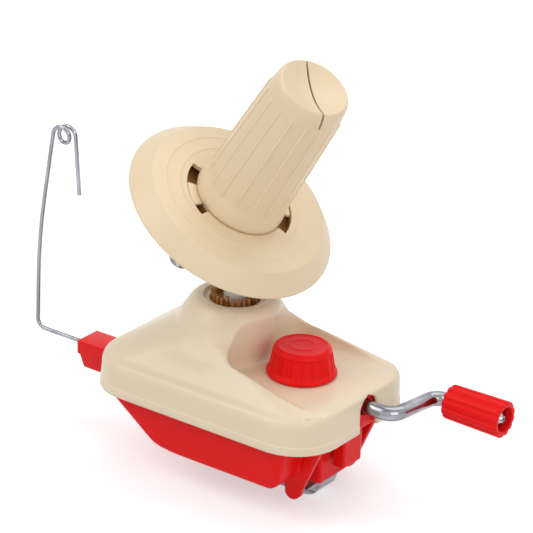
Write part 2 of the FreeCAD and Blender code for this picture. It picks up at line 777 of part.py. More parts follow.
def thrust_washer():
    return on_spool(ring(SPINDLE_RADIUS + 3.2, SPINDLE_RADIUS, 1.6, V(0, 0, 0.1 - SLEEVE_TOP)))


def saucer():
    rim, crease = SAUCER_RADIUS, CREASE_RADIUS
    plate = CREASE_RISE + PLATE_RISE
    seat = plate - SEAT_SINK
    w = SAUCER_WALL
    outline = [(SPINDLE_RADIUS, HUB_BOTTOM), (HUB_RADIUS, HUB_BOTTOM), (HUB_RADIUS + 1, seat - w),
               (WINDOW_OUTER + w, seat - w), (crease - 1, CREASE_RISE - w), (rim - w, 0), (rim, 0),
               (rim, 0.8), (crease, CREASE_RISE), (SEAT_RADIUS, plate), (SEAT_RADIUS, seat),
               (SPINDLE_RADIUS, seat)]
    inner, outer, t = WINDOW_INNER - 0.2, WINDOW_OUTER + 0.2, CHANNEL_WALL
    top, floor = seat - w + 0.2, CHANNEL_BOTTOM + CHANNEL_WALL
    channel = [(inner - t, CHANNEL_BOTTOM), (outer + t, CHANNEL_BOTTOM), (outer + t, top), (outer, top),
               (outer, floor), (inner, floor), (inner, top), (inner - t, top)]
    shape = turned(outline).fuse(turned(channel))
    for turn in (0, 180):
        start = WINDOW_AT - WINDOW_ANGLE / 2 + turn
        shape = shape.cut(sector(WINDOW_OUTER, WINDOW_INNER, start, WINDOW_ANGLE, 5, plate + 2))
    return from_rim(shape)


def saucer_nut():
    nut = hex_nut(5.6, 5.0, SPINDLE_RADIUS)
    nut.translate(V(0, 0, CREASE_RISE + PLATE_RISE - SEAT_SINK + 1.2))
    return from_rim(nut)


def saucer_washer():
    seat = CREASE_RISE + PLATE_RISE - SEAT_SINK
    return from_rim(ring(9.0, SPINDLE_RADIUS, 1.2, V(0, 0, seat)))


def spool_core():
    seat = CREASE_RISE + PLATE_RISE - SEAT_SINK
    w = SPOOL_WALL
    shoulder = SPOOL_TOP - SPOOL_COLLAR
    dish = SPOOL_TOP - DISH_DEPTH
    bowl = [(DISH_RADIUS * k / 5, dish + DISH_DEPTH * (k / 5) ** 2 - 0.02 * k) for k in (5, 4, 3, 2, 1, 0)]
    outline = [(SPOOL_BASE - w - 1.0, seat), (SPOOL_BASE - 0.8, seat), (SPOOL_BASE, seat + 1.4),
               (SPOOL_BASE, seat + 3.4), (SPOOL_BASE - 0.6, seat + 6.6), (SPOOL_FOOT, seat + SPOOL_FLARE),
               (SPOOL_HEAD, shoulder), (SPOOL_HEAD - 0.4, shoulder + 4.4), (SPOOL_RIM + 1.4, SPOOL_TOP - 2.2),
               (SPOOL_RIM + 0.8, SPOOL_TOP - 0.8), (SPOOL_RIM, SPOOL_TOP)] + bowl
    outline += [(0, dish - w), (DISH_RADIUS - 4, dish - w), (SPOOL_HEAD - w, shoulder - 3),
                (SPOOL_FOOT - w, seat + SPOOL_FLARE)]
    core = turned(outline)
    for turn in (0, 180):
        core = core.fuse(sector(LUG_OUTER, WINDOW_INNER + 0.3, LUG_START + turn, LUG_ANGLE,
                                seat - LUG_DROP, seat + 0.2))
    ribs = []
    low, high = seat + SPOOL_FLARE, shoulder
    for k in range(SPOOL_RIBS):
        foot_r = SPOOL_FOOT + RIB_RAISE
        head_r = SPOOL_HEAD + RIB_RAISE
        half = RIB_WIDTH / 2
        bottom = polygon([V(SPOOL_FOOT - 1, -half, low), V(foot_r, -half, low), V(foot_r, half, low),
                          V(SPOOL_FOOT - 1, half, low)])
        top = polygon([V(SPOOL_HEAD - 1, -half, high), V(head_r, -half, high), V(head_r, half, high),
                       V(SPOOL_HEAD - 1, half, high)])
        rib = loft([bottom, top])
        rib.rotate(ORIGIN, Z, 360 / SPOOL_RIBS * k)
        ribs.append(rib)
    core = fuse([core] + ribs)
    slit = box(-40, 40, -SLIT_WIDTH / 2, SLIT_WIDTH / 2, 0.4 - SPOOL_COLLAR, 4)
    slit.rotate(ORIGIN, X, SLIT_LEAN)
    slit.rotate(ORIGIN, Z, SLIT_AT)
    slit.translate(Z * SPOOL_TOP)
    return from_rim(core.cut(slit))


# Crank
GRIP_CENTRE = V(0, CRANK_Y + CRANK_THROW, CRANK_Z)


def crank_rod():
    """Bent steel rod with a thinner journal at the gear end and one for the grip."""
    side = CRANK_THROW * math.tan(math.radians(CRANK_SLANT))
    journal_end = POST_X[-1] + POST_WIDTH + FACE_GAP
    grip_end = GRIP_START + GRIP_LENGTH - GRIP_RECESS_DEPTH + FACE_GAP
    middle = V(0, CRANK_Y, CRANK_Z)
    points = [middle + X * journal_end, middle + X * CRANK_BEND_X,
              GRIP_CENTRE + X * (CRANK_BEND_X + side), GRIP_CENTRE + X * (GRIP_START - FACE_GAP)]
    inner = cylinder(CRANK_RADIUS, journal_end - CROWN_FACE_X - 0.4, middle + X * (CROWN_FACE_X + 0.4), X)
    outer = cylinder(CRANK_RADIUS, grip_end - points[-1].x, points[-1], X)
    rod = fuse([tube(bent_path(points, [CRANK_BEND_RADIUS] * 2), ROD_RADIUS), inner, outer])
    screw = cylinder(GRIP_SCREW, GRIP_SCREW_LENGTH, GRIP_CENTRE + X * (grip_end - GRIP_SCREW_LENGTH), X)
    return rod.cut(screw).cut(crank_pin())


CROWN_FACE_X = PINION_RADIUS + PINION_HEAD + FOOT_GAP
CROWN_HUB = 3.0


def crown_gear():
    """Crown wheel on the crank, its teeth set askew by the crank's offset from the rotor."""
    face = CROWN_FACE_X
    tip = PINION_RADIUS - CROWN_HEAD
    middle = PINION_RADIUS * CROWN_TEETH / PINION_TEETH
    step = 2 * math.pi / CROWN_TEETH
    r_in, r_out = middle - CROWN_FACE / 2, middle + CROWN_FACE / 2
    disc = cylinder(r_out + 1.2, CROWN_DISC, V(face, 0, 0), X)
    hub = cylinder(8.0, CROWN_HUB, V(face + CROWN_DISC, 0, 0), X)
    teeth = []
    for k in range(CROWN_TEETH):
        wires = []
        for r in (r_in, r_out):
            pitch = step * r
            low, high = TOOTH_SHARE * 0.72 * pitch, TOOTH_SHARE * 0.27 * pitch
            wires.append(polygon([V(face + 0.5, -CRANK_Y - low, r), V(face, -CRANK_Y - low, r),
                                  V(tip, -CRANK_Y - high, r), V(tip, -CRANK_Y + high, r),
                                  V(face, -CRANK_Y + low, r), V(face + 0.5, -CRANK_Y + low, r)]))
        tooth = loft(wires)
        tooth.rotate(ORIGIN, X, 360 / CROWN_TEETH * k)
        teeth.append(tooth)
    gear = fuse([disc, hub] + teeth)
    gear = gear.cut(cylinder(CRANK_RADIUS, 40, V(0, 0, 0), X))
    gear.translate(V(0, CRANK_Y, CRANK_Z))
    return gear.cut(crank_pin())


def crank_pin():
    """Cross pin through the crown wheel's hub and the crank."""
    x = CROWN_FACE_X + CROWN_DISC + CROWN_HUB / 2
    return cylinder(0.8, 15.6, V(x, CRANK_Y, CRANK_Z - 7.8), Z)


def crank_collar(x):
    return ring(CRANK_RADIUS + 2.2, CRANK_RADIUS, 2.4, V(x, CRANK_Y, CRANK_Z), X)


def crank_grip():
    """Tapered grip with shallow ribs and a recess for its screw."""
    ends = (1.2, GRIP_LENGTH - 2.0)
    ribbed = loft([tooth_outline(GRIP_RIBS, r, 0.0, RIB_DEPTH, z, 0.0, 0.6)
                   for r, z in zip((GRIP_INNER, GRIP_OUTER), ends)])
    low, high = GRIP_INNER - RIB_DEPTH, GRIP_OUTER - RIB_DEPTH
    caps = turned([(0, 0), (low - 1.2, 0), (low, 1.2), (high, ends[1]), (high, GRIP_LENGTH - 0.8),
                   (high - 1.2, GRIP_LENGTH), (0, GRIP_LENGTH)])
    grip = fuse([ribbed, caps])
    grip = grip.cut(cylinder(CRANK_RADIUS + RUN, GRIP_LENGTH, ORIGIN))
    grip = grip.cut(cylinder(GRIP_RECESS, GRIP_RECESS_DEPTH, V(0, 0, GRIP_LENGTH - GRIP_RECESS_DEPTH)))
    grip.rotate(ORIGIN, Y, 90)
    grip.translate(GRIP_CENTRE + X * GRIP_START)
    return grip


def grip_washer():
    x = GRIP_START + GRIP_LENGTH - GRIP_RECESS_DEPTH + FACE_GAP
    return ring(GRIP_RECESS - 1.0, GRIP_SCREW, WASHER, GRIP_CENTRE + X * x, X)


def grip_screw():
    x = GRIP_START + GRIP_LENGTH - GRIP_RECESS_DEPTH + FACE_GAP + WASHER
    return screw(3.1, 2.4, GRIP_SCREW, GRIP_SCREW_LENGTH, GRIP_CENTRE + X * x, X * -1)


# Clamp
KNOB_BASE = PLATFORM + KNOB_LIFT


def fluted(radius, flutes, depth, z):
    """Closed outline with shallow flats, the flats' edges on the radius."""
    points = []
    for k in range(2 * flutes):
        r = radius if k % 2 else radius - depth
        a = math.pi * k / flutes
        points.append(V(r * math.cos(a), r * math.sin(a), z))
    return polygon(points)


def clamp_knob():
    flange = turned([(0, 0), (KNOB_FLANGE - 0.4, 0), (KNOB_FLANGE, 0.5), (KNOB_FLANGE, 2.0),
                     (KNOB_FLANGE - 1.4, 3.2), (0, 3.2)])
    body = loft([fluted(KNOB_FLANGE - 1.8, KNOB_FLUTES, 0.6, 2.6),
                 fluted(KNOB_TOP_RADIUS + 0.8, KNOB_FLUTES, 0.5, KNOB_HEIGHT - 1.2)])
    top = turned([(0, KNOB_HEIGHT - 1.4), (KNOB_TOP_RADIUS + 0.5, KNOB_HEIGHT - 1.4),
                  (KNOB_TOP_RADIUS - 0.6, KNOB_HEIGHT - 0.3), (KNOB_TOP_RADIUS - 1.8, KNOB_HEIGHT),
                  (0, KNOB_HEIGHT)])
    knob = fuse([flange, body, top])
    knob.translate(V(KNOB_X, KNOB_Y, KNOB_BASE))
    nut_room = cylinder(SLEEVE_RADIUS, BOLT_TOP + 1.2 - KNOB_BASE, V(KNOB_X, KNOB_Y, KNOB_BASE - 0.01))
    return knob.cut(nut_room)


def knob_insert():
    """Threaded brass sleeve that turns with the knob and draws the jaw's bolt up."""
    foot = V(KNOB_X, KNOB_Y, SLEEVE_DROP)
    return ring(SLEEVE_RADIUS, BOLT_RADIUS + RUN, BOLT_TOP + 1.0 - SLEEVE_DROP, foot)


def knob_clip():
    z = PLATFORM - COVER_WALL - 1.4
    return ring(SLEEVE_RADIUS + 2.4, SLEEVE_RADIUS, 1.2, V(KNOB_X, KNOB_Y, z))


def clamp_jaw():
    """Steel strip bent to a J: a stem in the base's guide block and a leg under the table."""
    outer_x = JAW_BACK
    centre = V(outer_x - JAW_BEND, 0, JAW_BOTTOM + JAW_BEND)
    t = JAW_THICK
    leg = box(centre.x - JAW_LENGTH + JAW_BEND, centre.x, -JAW_HALF, JAW_HALF, JAW_BOTTOM, JAW_BOTTOM + t)
    stem = box(outer_x - t, outer_x, -JAW_HALF, JAW_HALF, centre.z, JAW_STEM_TOP)
    bend = ring(JAW_BEND, JAW_BEND - t, 2 * JAW_HALF, V(centre.x, -JAW_HALF, centre.z), Y)
    quarter = box(centre.x, centre.x + 20, -20, 20, centre.z - 20, centre.z)
    jaw = fuse([leg, stem, bend.common(quarter)])
    return jaw.cut(cylinder(BOLT_RADIUS, 20, V(KNOB_X, KNOB_Y, JAW_BOTTOM - 5)))


def jaw_bolt():
    return cylinder(BOLT_RADIUS, BOLT_TOP - JAW_BOTTOM + 1.2, V(KNOB_X, KNOB_Y, JAW_BOTTOM - 1.2))


def jaw_nut():
    nut = hex_nut(4.4, 2.6, BOLT_RADIUS)
    nut.translate(V(KNOB_X, KNOB_Y, JAW_BOTTOM + JAW_THICK))
    return nut


def jaw_pad():
    x = JAW_BACK - JAW_LENGTH
    z = JAW_BOTTOM + JAW_THICK
    return box(x + 1, x + 1 + PAD_LENGTH, -JAW_HALF, JAW_HALF, z, z + PAD_THICK)


# Yarn guide
def guide_bracket():
    low = ARM_TOP - ARM_STEP
    outline = [(ARM_END, ARM_TOP), (ARM_END, low), (ARM_END + 1.9, low - 0.4),
               (ARM_END + ARM_NOSE, ARM_BOTTOM), (slope_wall(ARM_BOTTOM), ARM_BOTTOM),
               (slope_wall(ARM_TOP), ARM_TOP)]
    arm = side_prism(outline, ARM_HALF)
    return arm.cut(cylinder(WIRE_RADIUS + RUN, STEM_DEPTH, V(ARM_END, 0, WIRE_HEIGHT), X))


def biarc(p0, t0, p1, t1):
    """Two arcs that leave p0 along t0 and reach p1 along t1."""
    v = p1 - p0
    t = t0 + t1
    spread = 2 * (1 - t0.dot(t1))
    d = (-v.dot(t) + math.sqrt(v.dot(t) ** 2 + spread * v.dot(v))) / spread
    joint = (p0 + t0 * d + p1 - t1 * d) * 0.5
    middle = (p1 - p0 - (t0 + t1) * d).normalize()
    first = arc_edge(p0, t0, joint)
    second = arc_edge(joint, middle, p1)
    return [first, second]


def eye_point(angle, start):
    a = math.radians(angle)
    turns = (start - angle) / 360
    point = V(EYE_CENTRE_X + EYE_SHIFT * turns + EYE_RADIUS * math.cos(a), EYE_PITCH * turns,
              EYE_CENTRE_Z + EYE_RADIUS * math.sin(a))
    length = 2 * math.pi * EYE_RADIUS
    tangent = V(math.sin(a) + EYE_SHIFT / length, EYE_PITCH / length, -math.cos(a)).normalize()
    return point, tangent


def least_gap(edges):
    """Least gap between the wire's turns, measured on points of its middle line."""
    points = []
    run = 0.0
    for edge in edges[1:]:
        count = max(2, int(edge.Length / 0.5))
        for k in range(count):
            points.append((run + edge.Length * k / count, edge.valueAt(
                edge.FirstParameter + (edge.LastParameter - edge.FirstParameter) * k / count)))
        run += edge.Length
    apart = math.pi * EYE_RADIUS
    return min(p.distanceToPoint(q) for k, (a, p) in enumerate(points)
               for b, q in points[k + 1:] if b - a > apart) - 2 * WIRE_RADIUS


def guide_wire():
    start = 180 - WIRE_LEAN
    end = TAIL_LEAN - 360
    turns = 6
    marks = [start + (end - start) * k / turns for k in range(turns + 1)]
    points = [eye_point(angle, start) for angle in marks]
    first, last = points[0][0], points[-1][0]
    rise = direction(WIRE_LEAN)
    fall = direction(180 - TAIL_LEAN)
    points[0] = (first, rise)
    points[-1] = (last, fall)
    knee = first - rise * ((first.x - WIRE_CORNER_X) / rise.x)
    foot = V(WIRE_CORNER_X, 0, WIRE_HEIGHT)
    stem_end = V(ARM_END + STEM_DEPTH - 1, 0, WIRE_HEIGHT)
    edges = bent_path([stem_end, foot, knee, first], [WIRE_BEND, WIRE_BOW])
    for (p0, t0), (p1, t1) in zip(points, points[1:]):
        edges += biarc(p0, t0, p1, t1)
    edges.append(Part.LineSegment(last, last + fall * TAIL_LENGTH).toShape())
    print("eye's least gap", round(least_gap(edges), 2))
    return tube(edges, WIRE_RADIUS)


def parts():
    nodes = {
        "base_shell": base_shell(),
        "top_cover": top_cover(),
        "neck_collar": neck_collar(),
        "sun_post": sun_post(),
        "sun_gear": sun_gear(),
        "foot_bearing": foot_bearing(),
        "foot_bush": foot_bush(),
        "guide_bracket": guide_bracket(),
        "rotor_shaft": rotor_shaft(),
        "rotor_pinion": pinion(),
        "rotor_spacer": spacer(),
        "rotor_arm": rotor_arm(),
        "rotor_nut": arm_nut(),
        "spindle": spindle(),
        "planet_gear": planet_gear(),
        "planet_nut": planet_nut(),
        "thrust_washer": thrust_washer(),
        "saucer": saucer(),
        "saucer_washer": saucer_washer(),
        "saucer_nut": saucer_nut(),
        "spool_core": spool_core(),
        "crank_rod": crank_rod(),
        "crown_gear": crown_gear(),
        "crank_pin": crank_pin(),
        "crank_collar": crank_collar(POST_X[1] - 2.6),
        "crank_grip": crank_grip(),
        "grip_washer": grip_washer(),
        "grip_screw": grip_screw(),
        "clamp_knob": clamp_knob(),
        "knob_insert": knob_insert(),
        "knob_clip": knob_clip(),
        "clamp_jaw": clamp_jaw(),
        "jaw_bolt": jaw_bolt(),
        "jaw_nut": jaw_nut(),
        "jaw_pad": jaw_pad(),
        "guide_wire": guide_wire(),
    }
    for k, (x, y) in enumerate(BOSSES):
        seat = V(x, y, SCREW_SEAT)
        nodes[f"cover_screw_{k + 1}"] = screw(SCREW_HEAD, SCREW_HEAD_HEIGHT, SCREW_RADIUS,
                                              SCREW_TOP - SCREW_SEAT, seat, Z)
    for k, x in enumerate(POST_X):
        nodes[f"crank_bush_{k + 1}"] = crank_bush(x)
    for k, depth in enumerate((SLEEVE_BOTTOM, SLEEVE_TOP + BUSH_LENGTH)):
        nodes[f"arm_bush_{k + 1}"] = arm_bush(depth)
    for k, side in enumerate((-1, 1)):
        nodes[f"balance_weight_{k + 1}"] = balance_weight(side)
        nodes[f"weight_screw_{k + 1}"] = weight_screw(side)
    return nodes


def main():
    os.makedirs("parts", exist_ok=True)
    for name, shape in parts().items():
        solids = shape.Solids
        print(name, len(solids), shape.isValid(), round(shape.Volume, 1), shape.BoundBox)
        solids[0].exportStep(f"parts/{name}.step")


main()
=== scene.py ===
"""Hand-cranked yarn ball winder: the finished look of its parts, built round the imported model."""

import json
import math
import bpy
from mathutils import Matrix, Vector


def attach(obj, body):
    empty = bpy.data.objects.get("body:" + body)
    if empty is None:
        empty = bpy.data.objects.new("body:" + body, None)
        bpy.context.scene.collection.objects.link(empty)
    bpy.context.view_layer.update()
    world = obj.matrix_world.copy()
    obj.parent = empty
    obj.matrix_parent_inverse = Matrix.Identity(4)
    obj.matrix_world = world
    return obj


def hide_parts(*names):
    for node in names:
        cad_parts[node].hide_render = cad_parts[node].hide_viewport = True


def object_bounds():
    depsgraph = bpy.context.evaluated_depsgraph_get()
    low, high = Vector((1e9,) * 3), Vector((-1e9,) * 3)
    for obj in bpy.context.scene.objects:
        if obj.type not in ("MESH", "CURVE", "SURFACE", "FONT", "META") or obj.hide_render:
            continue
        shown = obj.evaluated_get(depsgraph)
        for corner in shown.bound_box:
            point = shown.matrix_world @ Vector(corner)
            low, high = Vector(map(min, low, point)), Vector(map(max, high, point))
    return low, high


bl_info = {
    "name": "Yarn Ball Winder",
    "version": (1, 0, 0),
    "blender": (4, 5, 0),
    "location": "View3D > Sidebar > Winder",
    "description": "Builds the housing, spool, crank, clamp and wire guide of a yarn ball winder",
    "category": "Add Mesh",
}

from functools import reduce

import bmesh
import bpy
import numpy as np
from bpy.props import FloatProperty, FloatVectorProperty, IntProperty, PointerProperty
from mathutils import Matrix, Vector

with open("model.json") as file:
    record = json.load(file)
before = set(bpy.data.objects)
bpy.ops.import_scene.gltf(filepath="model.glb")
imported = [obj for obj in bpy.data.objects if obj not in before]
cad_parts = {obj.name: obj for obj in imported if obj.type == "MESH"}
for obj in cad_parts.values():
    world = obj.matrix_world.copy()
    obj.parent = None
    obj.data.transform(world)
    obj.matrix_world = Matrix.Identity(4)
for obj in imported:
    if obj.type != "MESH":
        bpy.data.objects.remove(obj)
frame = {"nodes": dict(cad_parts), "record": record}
CAD_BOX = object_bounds()

MM = 0.001
QUARTER = math.pi / 2

# Axes that the moving pieces turn on. All sizes and places below are millimetres.
APEX = 131.9
TILT = math.radians(32.0)
ROTOR_REST = math.radians(-3.5)
RIM_DROP = 9.8
CRANK_Y = 4.8
CRANK_Z = 37.8
GRIP_START = 111.0
GRIP_Y = 38.3
KNOB_X = 44.5
KNOB_Y = -0.8
KNOB_FOOT = 47.8
RIM_FRAME = (Matrix.Rotation(ROTOR_REST, 4, "Z") @ Matrix.Translation((0, 0, APEX))
             @ Matrix.Rotation(TILT, 4, "Y") @ Matrix.Translation((0, 0, -RIM_DROP)))
CRANK_FRAME = Matrix.Translation((0, CRANK_Y, CRANK_Z)) @ Matrix.Rotation(QUARTER, 4, "Y")
GRIP_FRAME = Matrix.Translation((GRIP_START, GRIP_Y, CRANK_Z)) @ Matrix.Rotation(QUARTER, 4, "Y")
KNOB_FRAME = Matrix.Translation((KNOB_X, KNOB_Y, KNOB_FOOT))

# Cover: its plan at each height, then the neck. A lean is the factor on a wall that isn't upright.
COVER_HEIGHTS = (26.0, 40.5, 43.4, 45.6, 63.5, 70.0, 82.0)
COVER_NEAR = (-61.5, -60.6, -59.6, -57.3, -28.8, -18.4, 0.8)
COVER_FAR = (84.3, 84.0, 83.8, 83.5, 28.8, 8.9, -27.8)
COVER_HALF = (51.0, 50.1, 48.6, 44.6, 28.8, 23.0, 12.3)
COVER_CORNER = (26.0, 25.1, 23.6, 19.6, 28.4, 13.0, 2.0)
NECK_HEIGHTS = (56, 60.5, 63.5, 67.5, 71.0, 74.5, 76.7, 78.2, 78.9)
NECK_RADII = (34.0, 30.5, 28.8, 27.3, 26.0, 24.6, 23.3, 21.8, 20.2)
NECK_SOFTNESS = 0.8
NECK_LEAN = 0.95
NECK_FOOT = 58.0
NECK_TOP = 78.9
ROOF_CAP = 70.0
ROOF_CAP_BLEND = 4.0
CREST_BLEND = 1.2
SKIRT_BOTTOM = 26.0
LIP_TOP = 30.5
PLATFORM = 47.6
POCKET_START = 17.2
POCKET_HALF = 32.2
POCKET_HALF_AT = 25.0
POCKET_SPREAD = 0.11
POCKET_DRAFT = 0.18
POCKET_LEAN = 0.98
POCKET_CORNER = 8.0
POCKET_FOOT = 4.0
SCOOP_RADII = (20.5, 25.6)
SCOOP_BLEND = 5.0
SCOOP_LEAN = 0.987
WEB_RADIUS = 21.0
WEB_BOTTOM = 67.4
MOUTH_BORES = ((16.3, 77.0), (13.0, 69.8), (6.0, 60.0))
ARCH_Y = 4.2
ARCH_Z = 37.0
ARCH_RADIUS = 7.6
ARCH_START = 64.3
KNOB_HOLE = 4.9
KNOB_HOLE_BOTTOM = 41.6
COVER_EDGE = 0.6
COVER_ROOM = ((-62.5, -52.0, 25.0), (85.5, 52.0, 80.0))

# Base, with its block, claws, posts and bosses
BASE_OUTLINE = [(-10.2, 0.0), (57.0, 0.0), (62.0, 4.5), (65.75, 26.4), (66.5, 31.0), (-56.9, 31.0),
                (-18.57, 1.8)]
BASE_HEIGHT = 26.4
BASE_HALF = 42.7
BASE_FLARE = 1.6
BASE_ENDS = (-56.0, 70.0)
BASE_CORNER = 12.0
BASE_EDGE = 2.0
BASE_BLEND = 2.4
BASE_WALL = 2.4
BASE_FLOOR = 3.0
BASE_TOP = 27.0
RIM_PLAN = (-58.85, 81.65, 48.15, 23.35)
RIM_FLOOR = 28.6
RIM_TOP = 30.8
BLOCK_PLAN = (50.0, 66.0, 11.4, 1.8)
BLOCK_BOTTOM = -6.0
BLOCK_TOP = 27.3
BLOCK_BACK = 56.5
CLAW_OUTLINE = [(54.0, -6.0), (64.0, -6.0), (76.7, 24.0), (52.0, 24.0), (50.0, 3.0)]
CLAW_CORNER = 1.0
CLAW_Y = 24.0
CLAW_TIP = (59.0, -6.0)
CLAW_TIP_RADIUS = 5.0
CLAW_HALF = 1.7
CLAW_BACK = (55.2, -3.7)
CLAW_BACK_FACING = (0.9, 0.43)
CLAW_BACK_BEVEL = 1.2
CLAW_BACK_THIN = 0.7
CLAW_FOOT = -3.4
CLAW_FOOT_THICK = 0.3
BLEND = 0.8
CLAW_EDGE = 0.6
GROOVE_X = 59.8
GROOVE_Y = 45.2
GROOVE_FOOT = 14.4
GROOVE_TOP = 26.0
GROOVE_RADIUS = 1.7
GROOVE_EDGE = 0.5
JAW_SLOT = ((61.4, -7.8, -8.0), (64.5, 7.8, 47.0))
SLOT_PLATE = ((79.2, -6.5, 27.0), (81.2, 15.0, 46.0))
POSTS_AT = (17.0, 68.0)
POST_LENGTH = 7.0
POST_SIDES = (-3.2, 12.8)
POST_HEIGHTS = (2.5, 44.0)
CRANK_BORE = 4.6
CRANK_BORE_START = 10.0
SCREW_SPOTS = ((-2.5, 35.0), (46.0, 33.0))
BOSS_RADIUS = 4.6
BOSS_HEIGHTS = (0.4, 28.0)
SCREW_WELL = 3.2
SCREW_WELL_TOP = 8.5
BOLT_HOLE = 2.85
BOLT_HOLE_TOP = 4.0
BRACKET_OUTLINE = [(-97.7, 25.3), (-97.7, 17.8), (-95.8, 17.4), (-92.9, 10.9), (-30.5, 10.9),
                   (-49.4, 25.3)]
BRACKET_HALF = 8.5
BASE_ROOM = ((-60.0, -49.0, -12.0), (83.0, 49.0, 46.5))

# Collar, as (radius, height); its low and tall teeth as (count, top)
COLLAR_OUTLINE = [(6.1, 69.8), (12.8, 69.8), (12.8, 76.2), (6.1, 76.2)]
TEETH = ((25, 80.2), (5, 81.8))
TEETH_START = math.radians(-75)
TOOTH_FOOT = 75.8
TOOTH_RADII = (10.2, 12.6)
TOOTH_HALF = 0.8

# Saucer and spool, as (radius, height above the rim)
CREASE = (48.9, 10.3)
PLATE_SLOPE = 0.7 / 24.0
RING_RADII = (41.2, 33.5)
RING_HALF = 0.42
RING_TOP_HALF = 0.12
SAUCER_RIM = [(57.5, 0.0), (57.5, 0.8), CREASE]
SAUCER_SEAT = [(24.9, 11.0), (24.9, 10.4), (3.0, 10.4)]
SAUCER_UNDER = [(3.0, 2.0), (8.0, 2.0), (9.0, 8.6), (31.5, 8.6), (47.9, 8.5), (55.7, 0.0)]
WINDOW_RADII = (29.7, 23.0)
WINDOW_STARTS = (17.0, 197.0)
WINDOW_ANGLE = 73.0
WINDOW_HEIGHTS = (5.0, 13.0)
CHANNEL_OUTLINE = [(21.4, 2.6), (31.3, 2.6), (31.3, 8.8), (29.9, 8.8), (29.9, 4.0), (22.8, 4.0),
                   (22.8, 8.8), (21.4, 8.8)]
RIB_FOOT = (22.6, 22.4)
RIB_HEAD = (20.4, 87.1)
RIB_ENDS = [(0.0, 0.0), (0.006, 0.55), (0.014, 0.9), (0.024, 1.0), (0.976, 1.0), (0.986, 0.9),
            (0.994, 0.55), (1.0, 0.0)]
RIB_SINK = 0.8
SPOOL_OUTSIDE = [(21.3, 10.4), (23.7, 10.4), (24.4, 11.6), (24.5, 13.8), (23.9, 17.0), RIB_FOOT,
                 RIB_HEAD, (20.0, 91.5), (19.5, 94.7), (18.9, 96.1), (18.1, 96.9)]
SPOOL_INSIDE = [(0, 90.2), (13.4, 90.2), (18.2, 84.1), (20.4, 22.4)]
SPOOL_TOP = 96.9
DISH_RADIUS = 17.4
DISH_FLOOR = 92.4
DISH_RISE = 4.4
DISH_STEPS = 12
SLIT_OUTLINE = [(-40, -9.4), (40, -9.4), (40, 4.0), (-40, 4.0)]
SLIT_AT = math.radians(-30.4)
SLIT_LEAN = math.radians(9.0)
LUG_RADII = (29.1, 23.3)
LUG_STARTS = (46.0, 226.0)
LUG_ANGLE = 30.0
LUG_HEIGHTS = (8.6, 10.4)

# Crank and grip, the outlines as (radius, place along the axis)
CRANK_THROW = 33.5
CRANK_SLANT = math.radians(8.0)
CRANK_BEND_X = 97.9
ROD_ENDS = (75.3, 110.7)
JOURNAL_OUTLINE = [(0, 10.9), (3.0, 10.9), (3.0, 76.0), (0, 76.0)]
GRIP_PIN_OUTLINE = [(0, -0.4), (3.0, -0.4), (3.0, 29.2), (1.5, 29.2), (1.5, 17.2), (0, 17.2)]
GRIP_OUTLINE = [(3.05, 0), (8.2, 0), (9.1, 0.5), (9.3, 1.4), (9.85, 31.8), (9.8, 33.2), (9.2, 33.8),
                (8.6, 33.9), (7.0, 33.9), (6.6, 33.4), (6.6, 28.9), (3.05, 28.9)]
RIDGE_ROOT = 7.4
RIDGE_FADE = 1.2
RIDGE_SHARE = 0.45
RIDGE_FLANK = 0.4

# Knob, as (radius, height)
KNOB_OUTLINE = [(4.6, 0), (18.1, 0), (18.5, 0.5), (18.5, 1.6), (17.9, 2.2), (17.5, 2.5), (17.3, 3.5),
                (15.6, 12.3), (15.5, 13.3), (14.9, 14.7), (13.9, 15.6), (12.9, 15.9), (12.0, 15.75),
                (11.7, 15.5), (7.0, 15.5), (6.75, 15.75), (6.2, 15.75), (5.9, 15.45), (0, 15.45),
                (0, 12.4), (4.6, 12.4)]
FLAT_ROOT = 15.0
FLAT_HEIGHTS = (2.4, 13.3)
FLAT_SHARPNESS = 4.5

# Guide wire
GUIDE_START = Vector((-72.7, 0, 20.5))
GUIDE_FOOT = Vector((-132.0, 0, 20.5))
FOOT_BEND = 5.0
GUIDE_LEAN = math.radians(8.2)
EYE_X = -118.4
EYE_Z = 136.2
EYE_SHIFT = 1.8
EYE_PITCH = 3.0
EYE_STEPS = 56
TAIL_LEAN = math.radians(5.5)
TAIL_LENGTH = 33.5
WIRE_HOLE = 1.2

# Screws that hold the cover, as (radius, height)
SCREW_HEAD = [(0, 8.0), (2.9, 8.0), (2.9, 6.6), (2.3, 5.9), (0, 5.8)]
SCREW_NOTCH = [(-2.4, 5.0), (2.4, 5.0), (1.7, 6.8), (-1.7, 6.8)]
SCREW_NOTCH_HALF = 0.4
SCREW_SHANK = [(0, 7.8), (1.4, 7.8), (1.4, 42.4), (0, 43.0)]
SCREW_TURN = 0.6

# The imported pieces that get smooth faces, then those that only get a finish
SMOOTHED = {
    "zinc_casting": ["rotor_arm"],
    "white_nylon": ["sun_gear", "planet_gear", "sun_post"],
    "bright_chrome": ["balance_weight_1", "balance_weight_2", "grip_screw", "grip_washer"],
    "plated_steel": ["rotor_shaft", "spindle", "clamp_jaw", "jaw_bolt", "rotor_nut", "planet_nut",
                     "thrust_washer", "jaw_nut"],
}
PAINTED = {
    "tan_nylon": ["crown_gear", "foot_bush", "crank_bush_1", "crank_bush_2", "rotor_pinion"],
    "red_base": ["foot_bearing"],
    "brass": ["knob_insert", "arm_bush_1", "arm_bush_2"],
    "black_rubber": ["jaw_pad"],
    "white_nylon": ["rotor_spacer", "saucer_washer"],
}

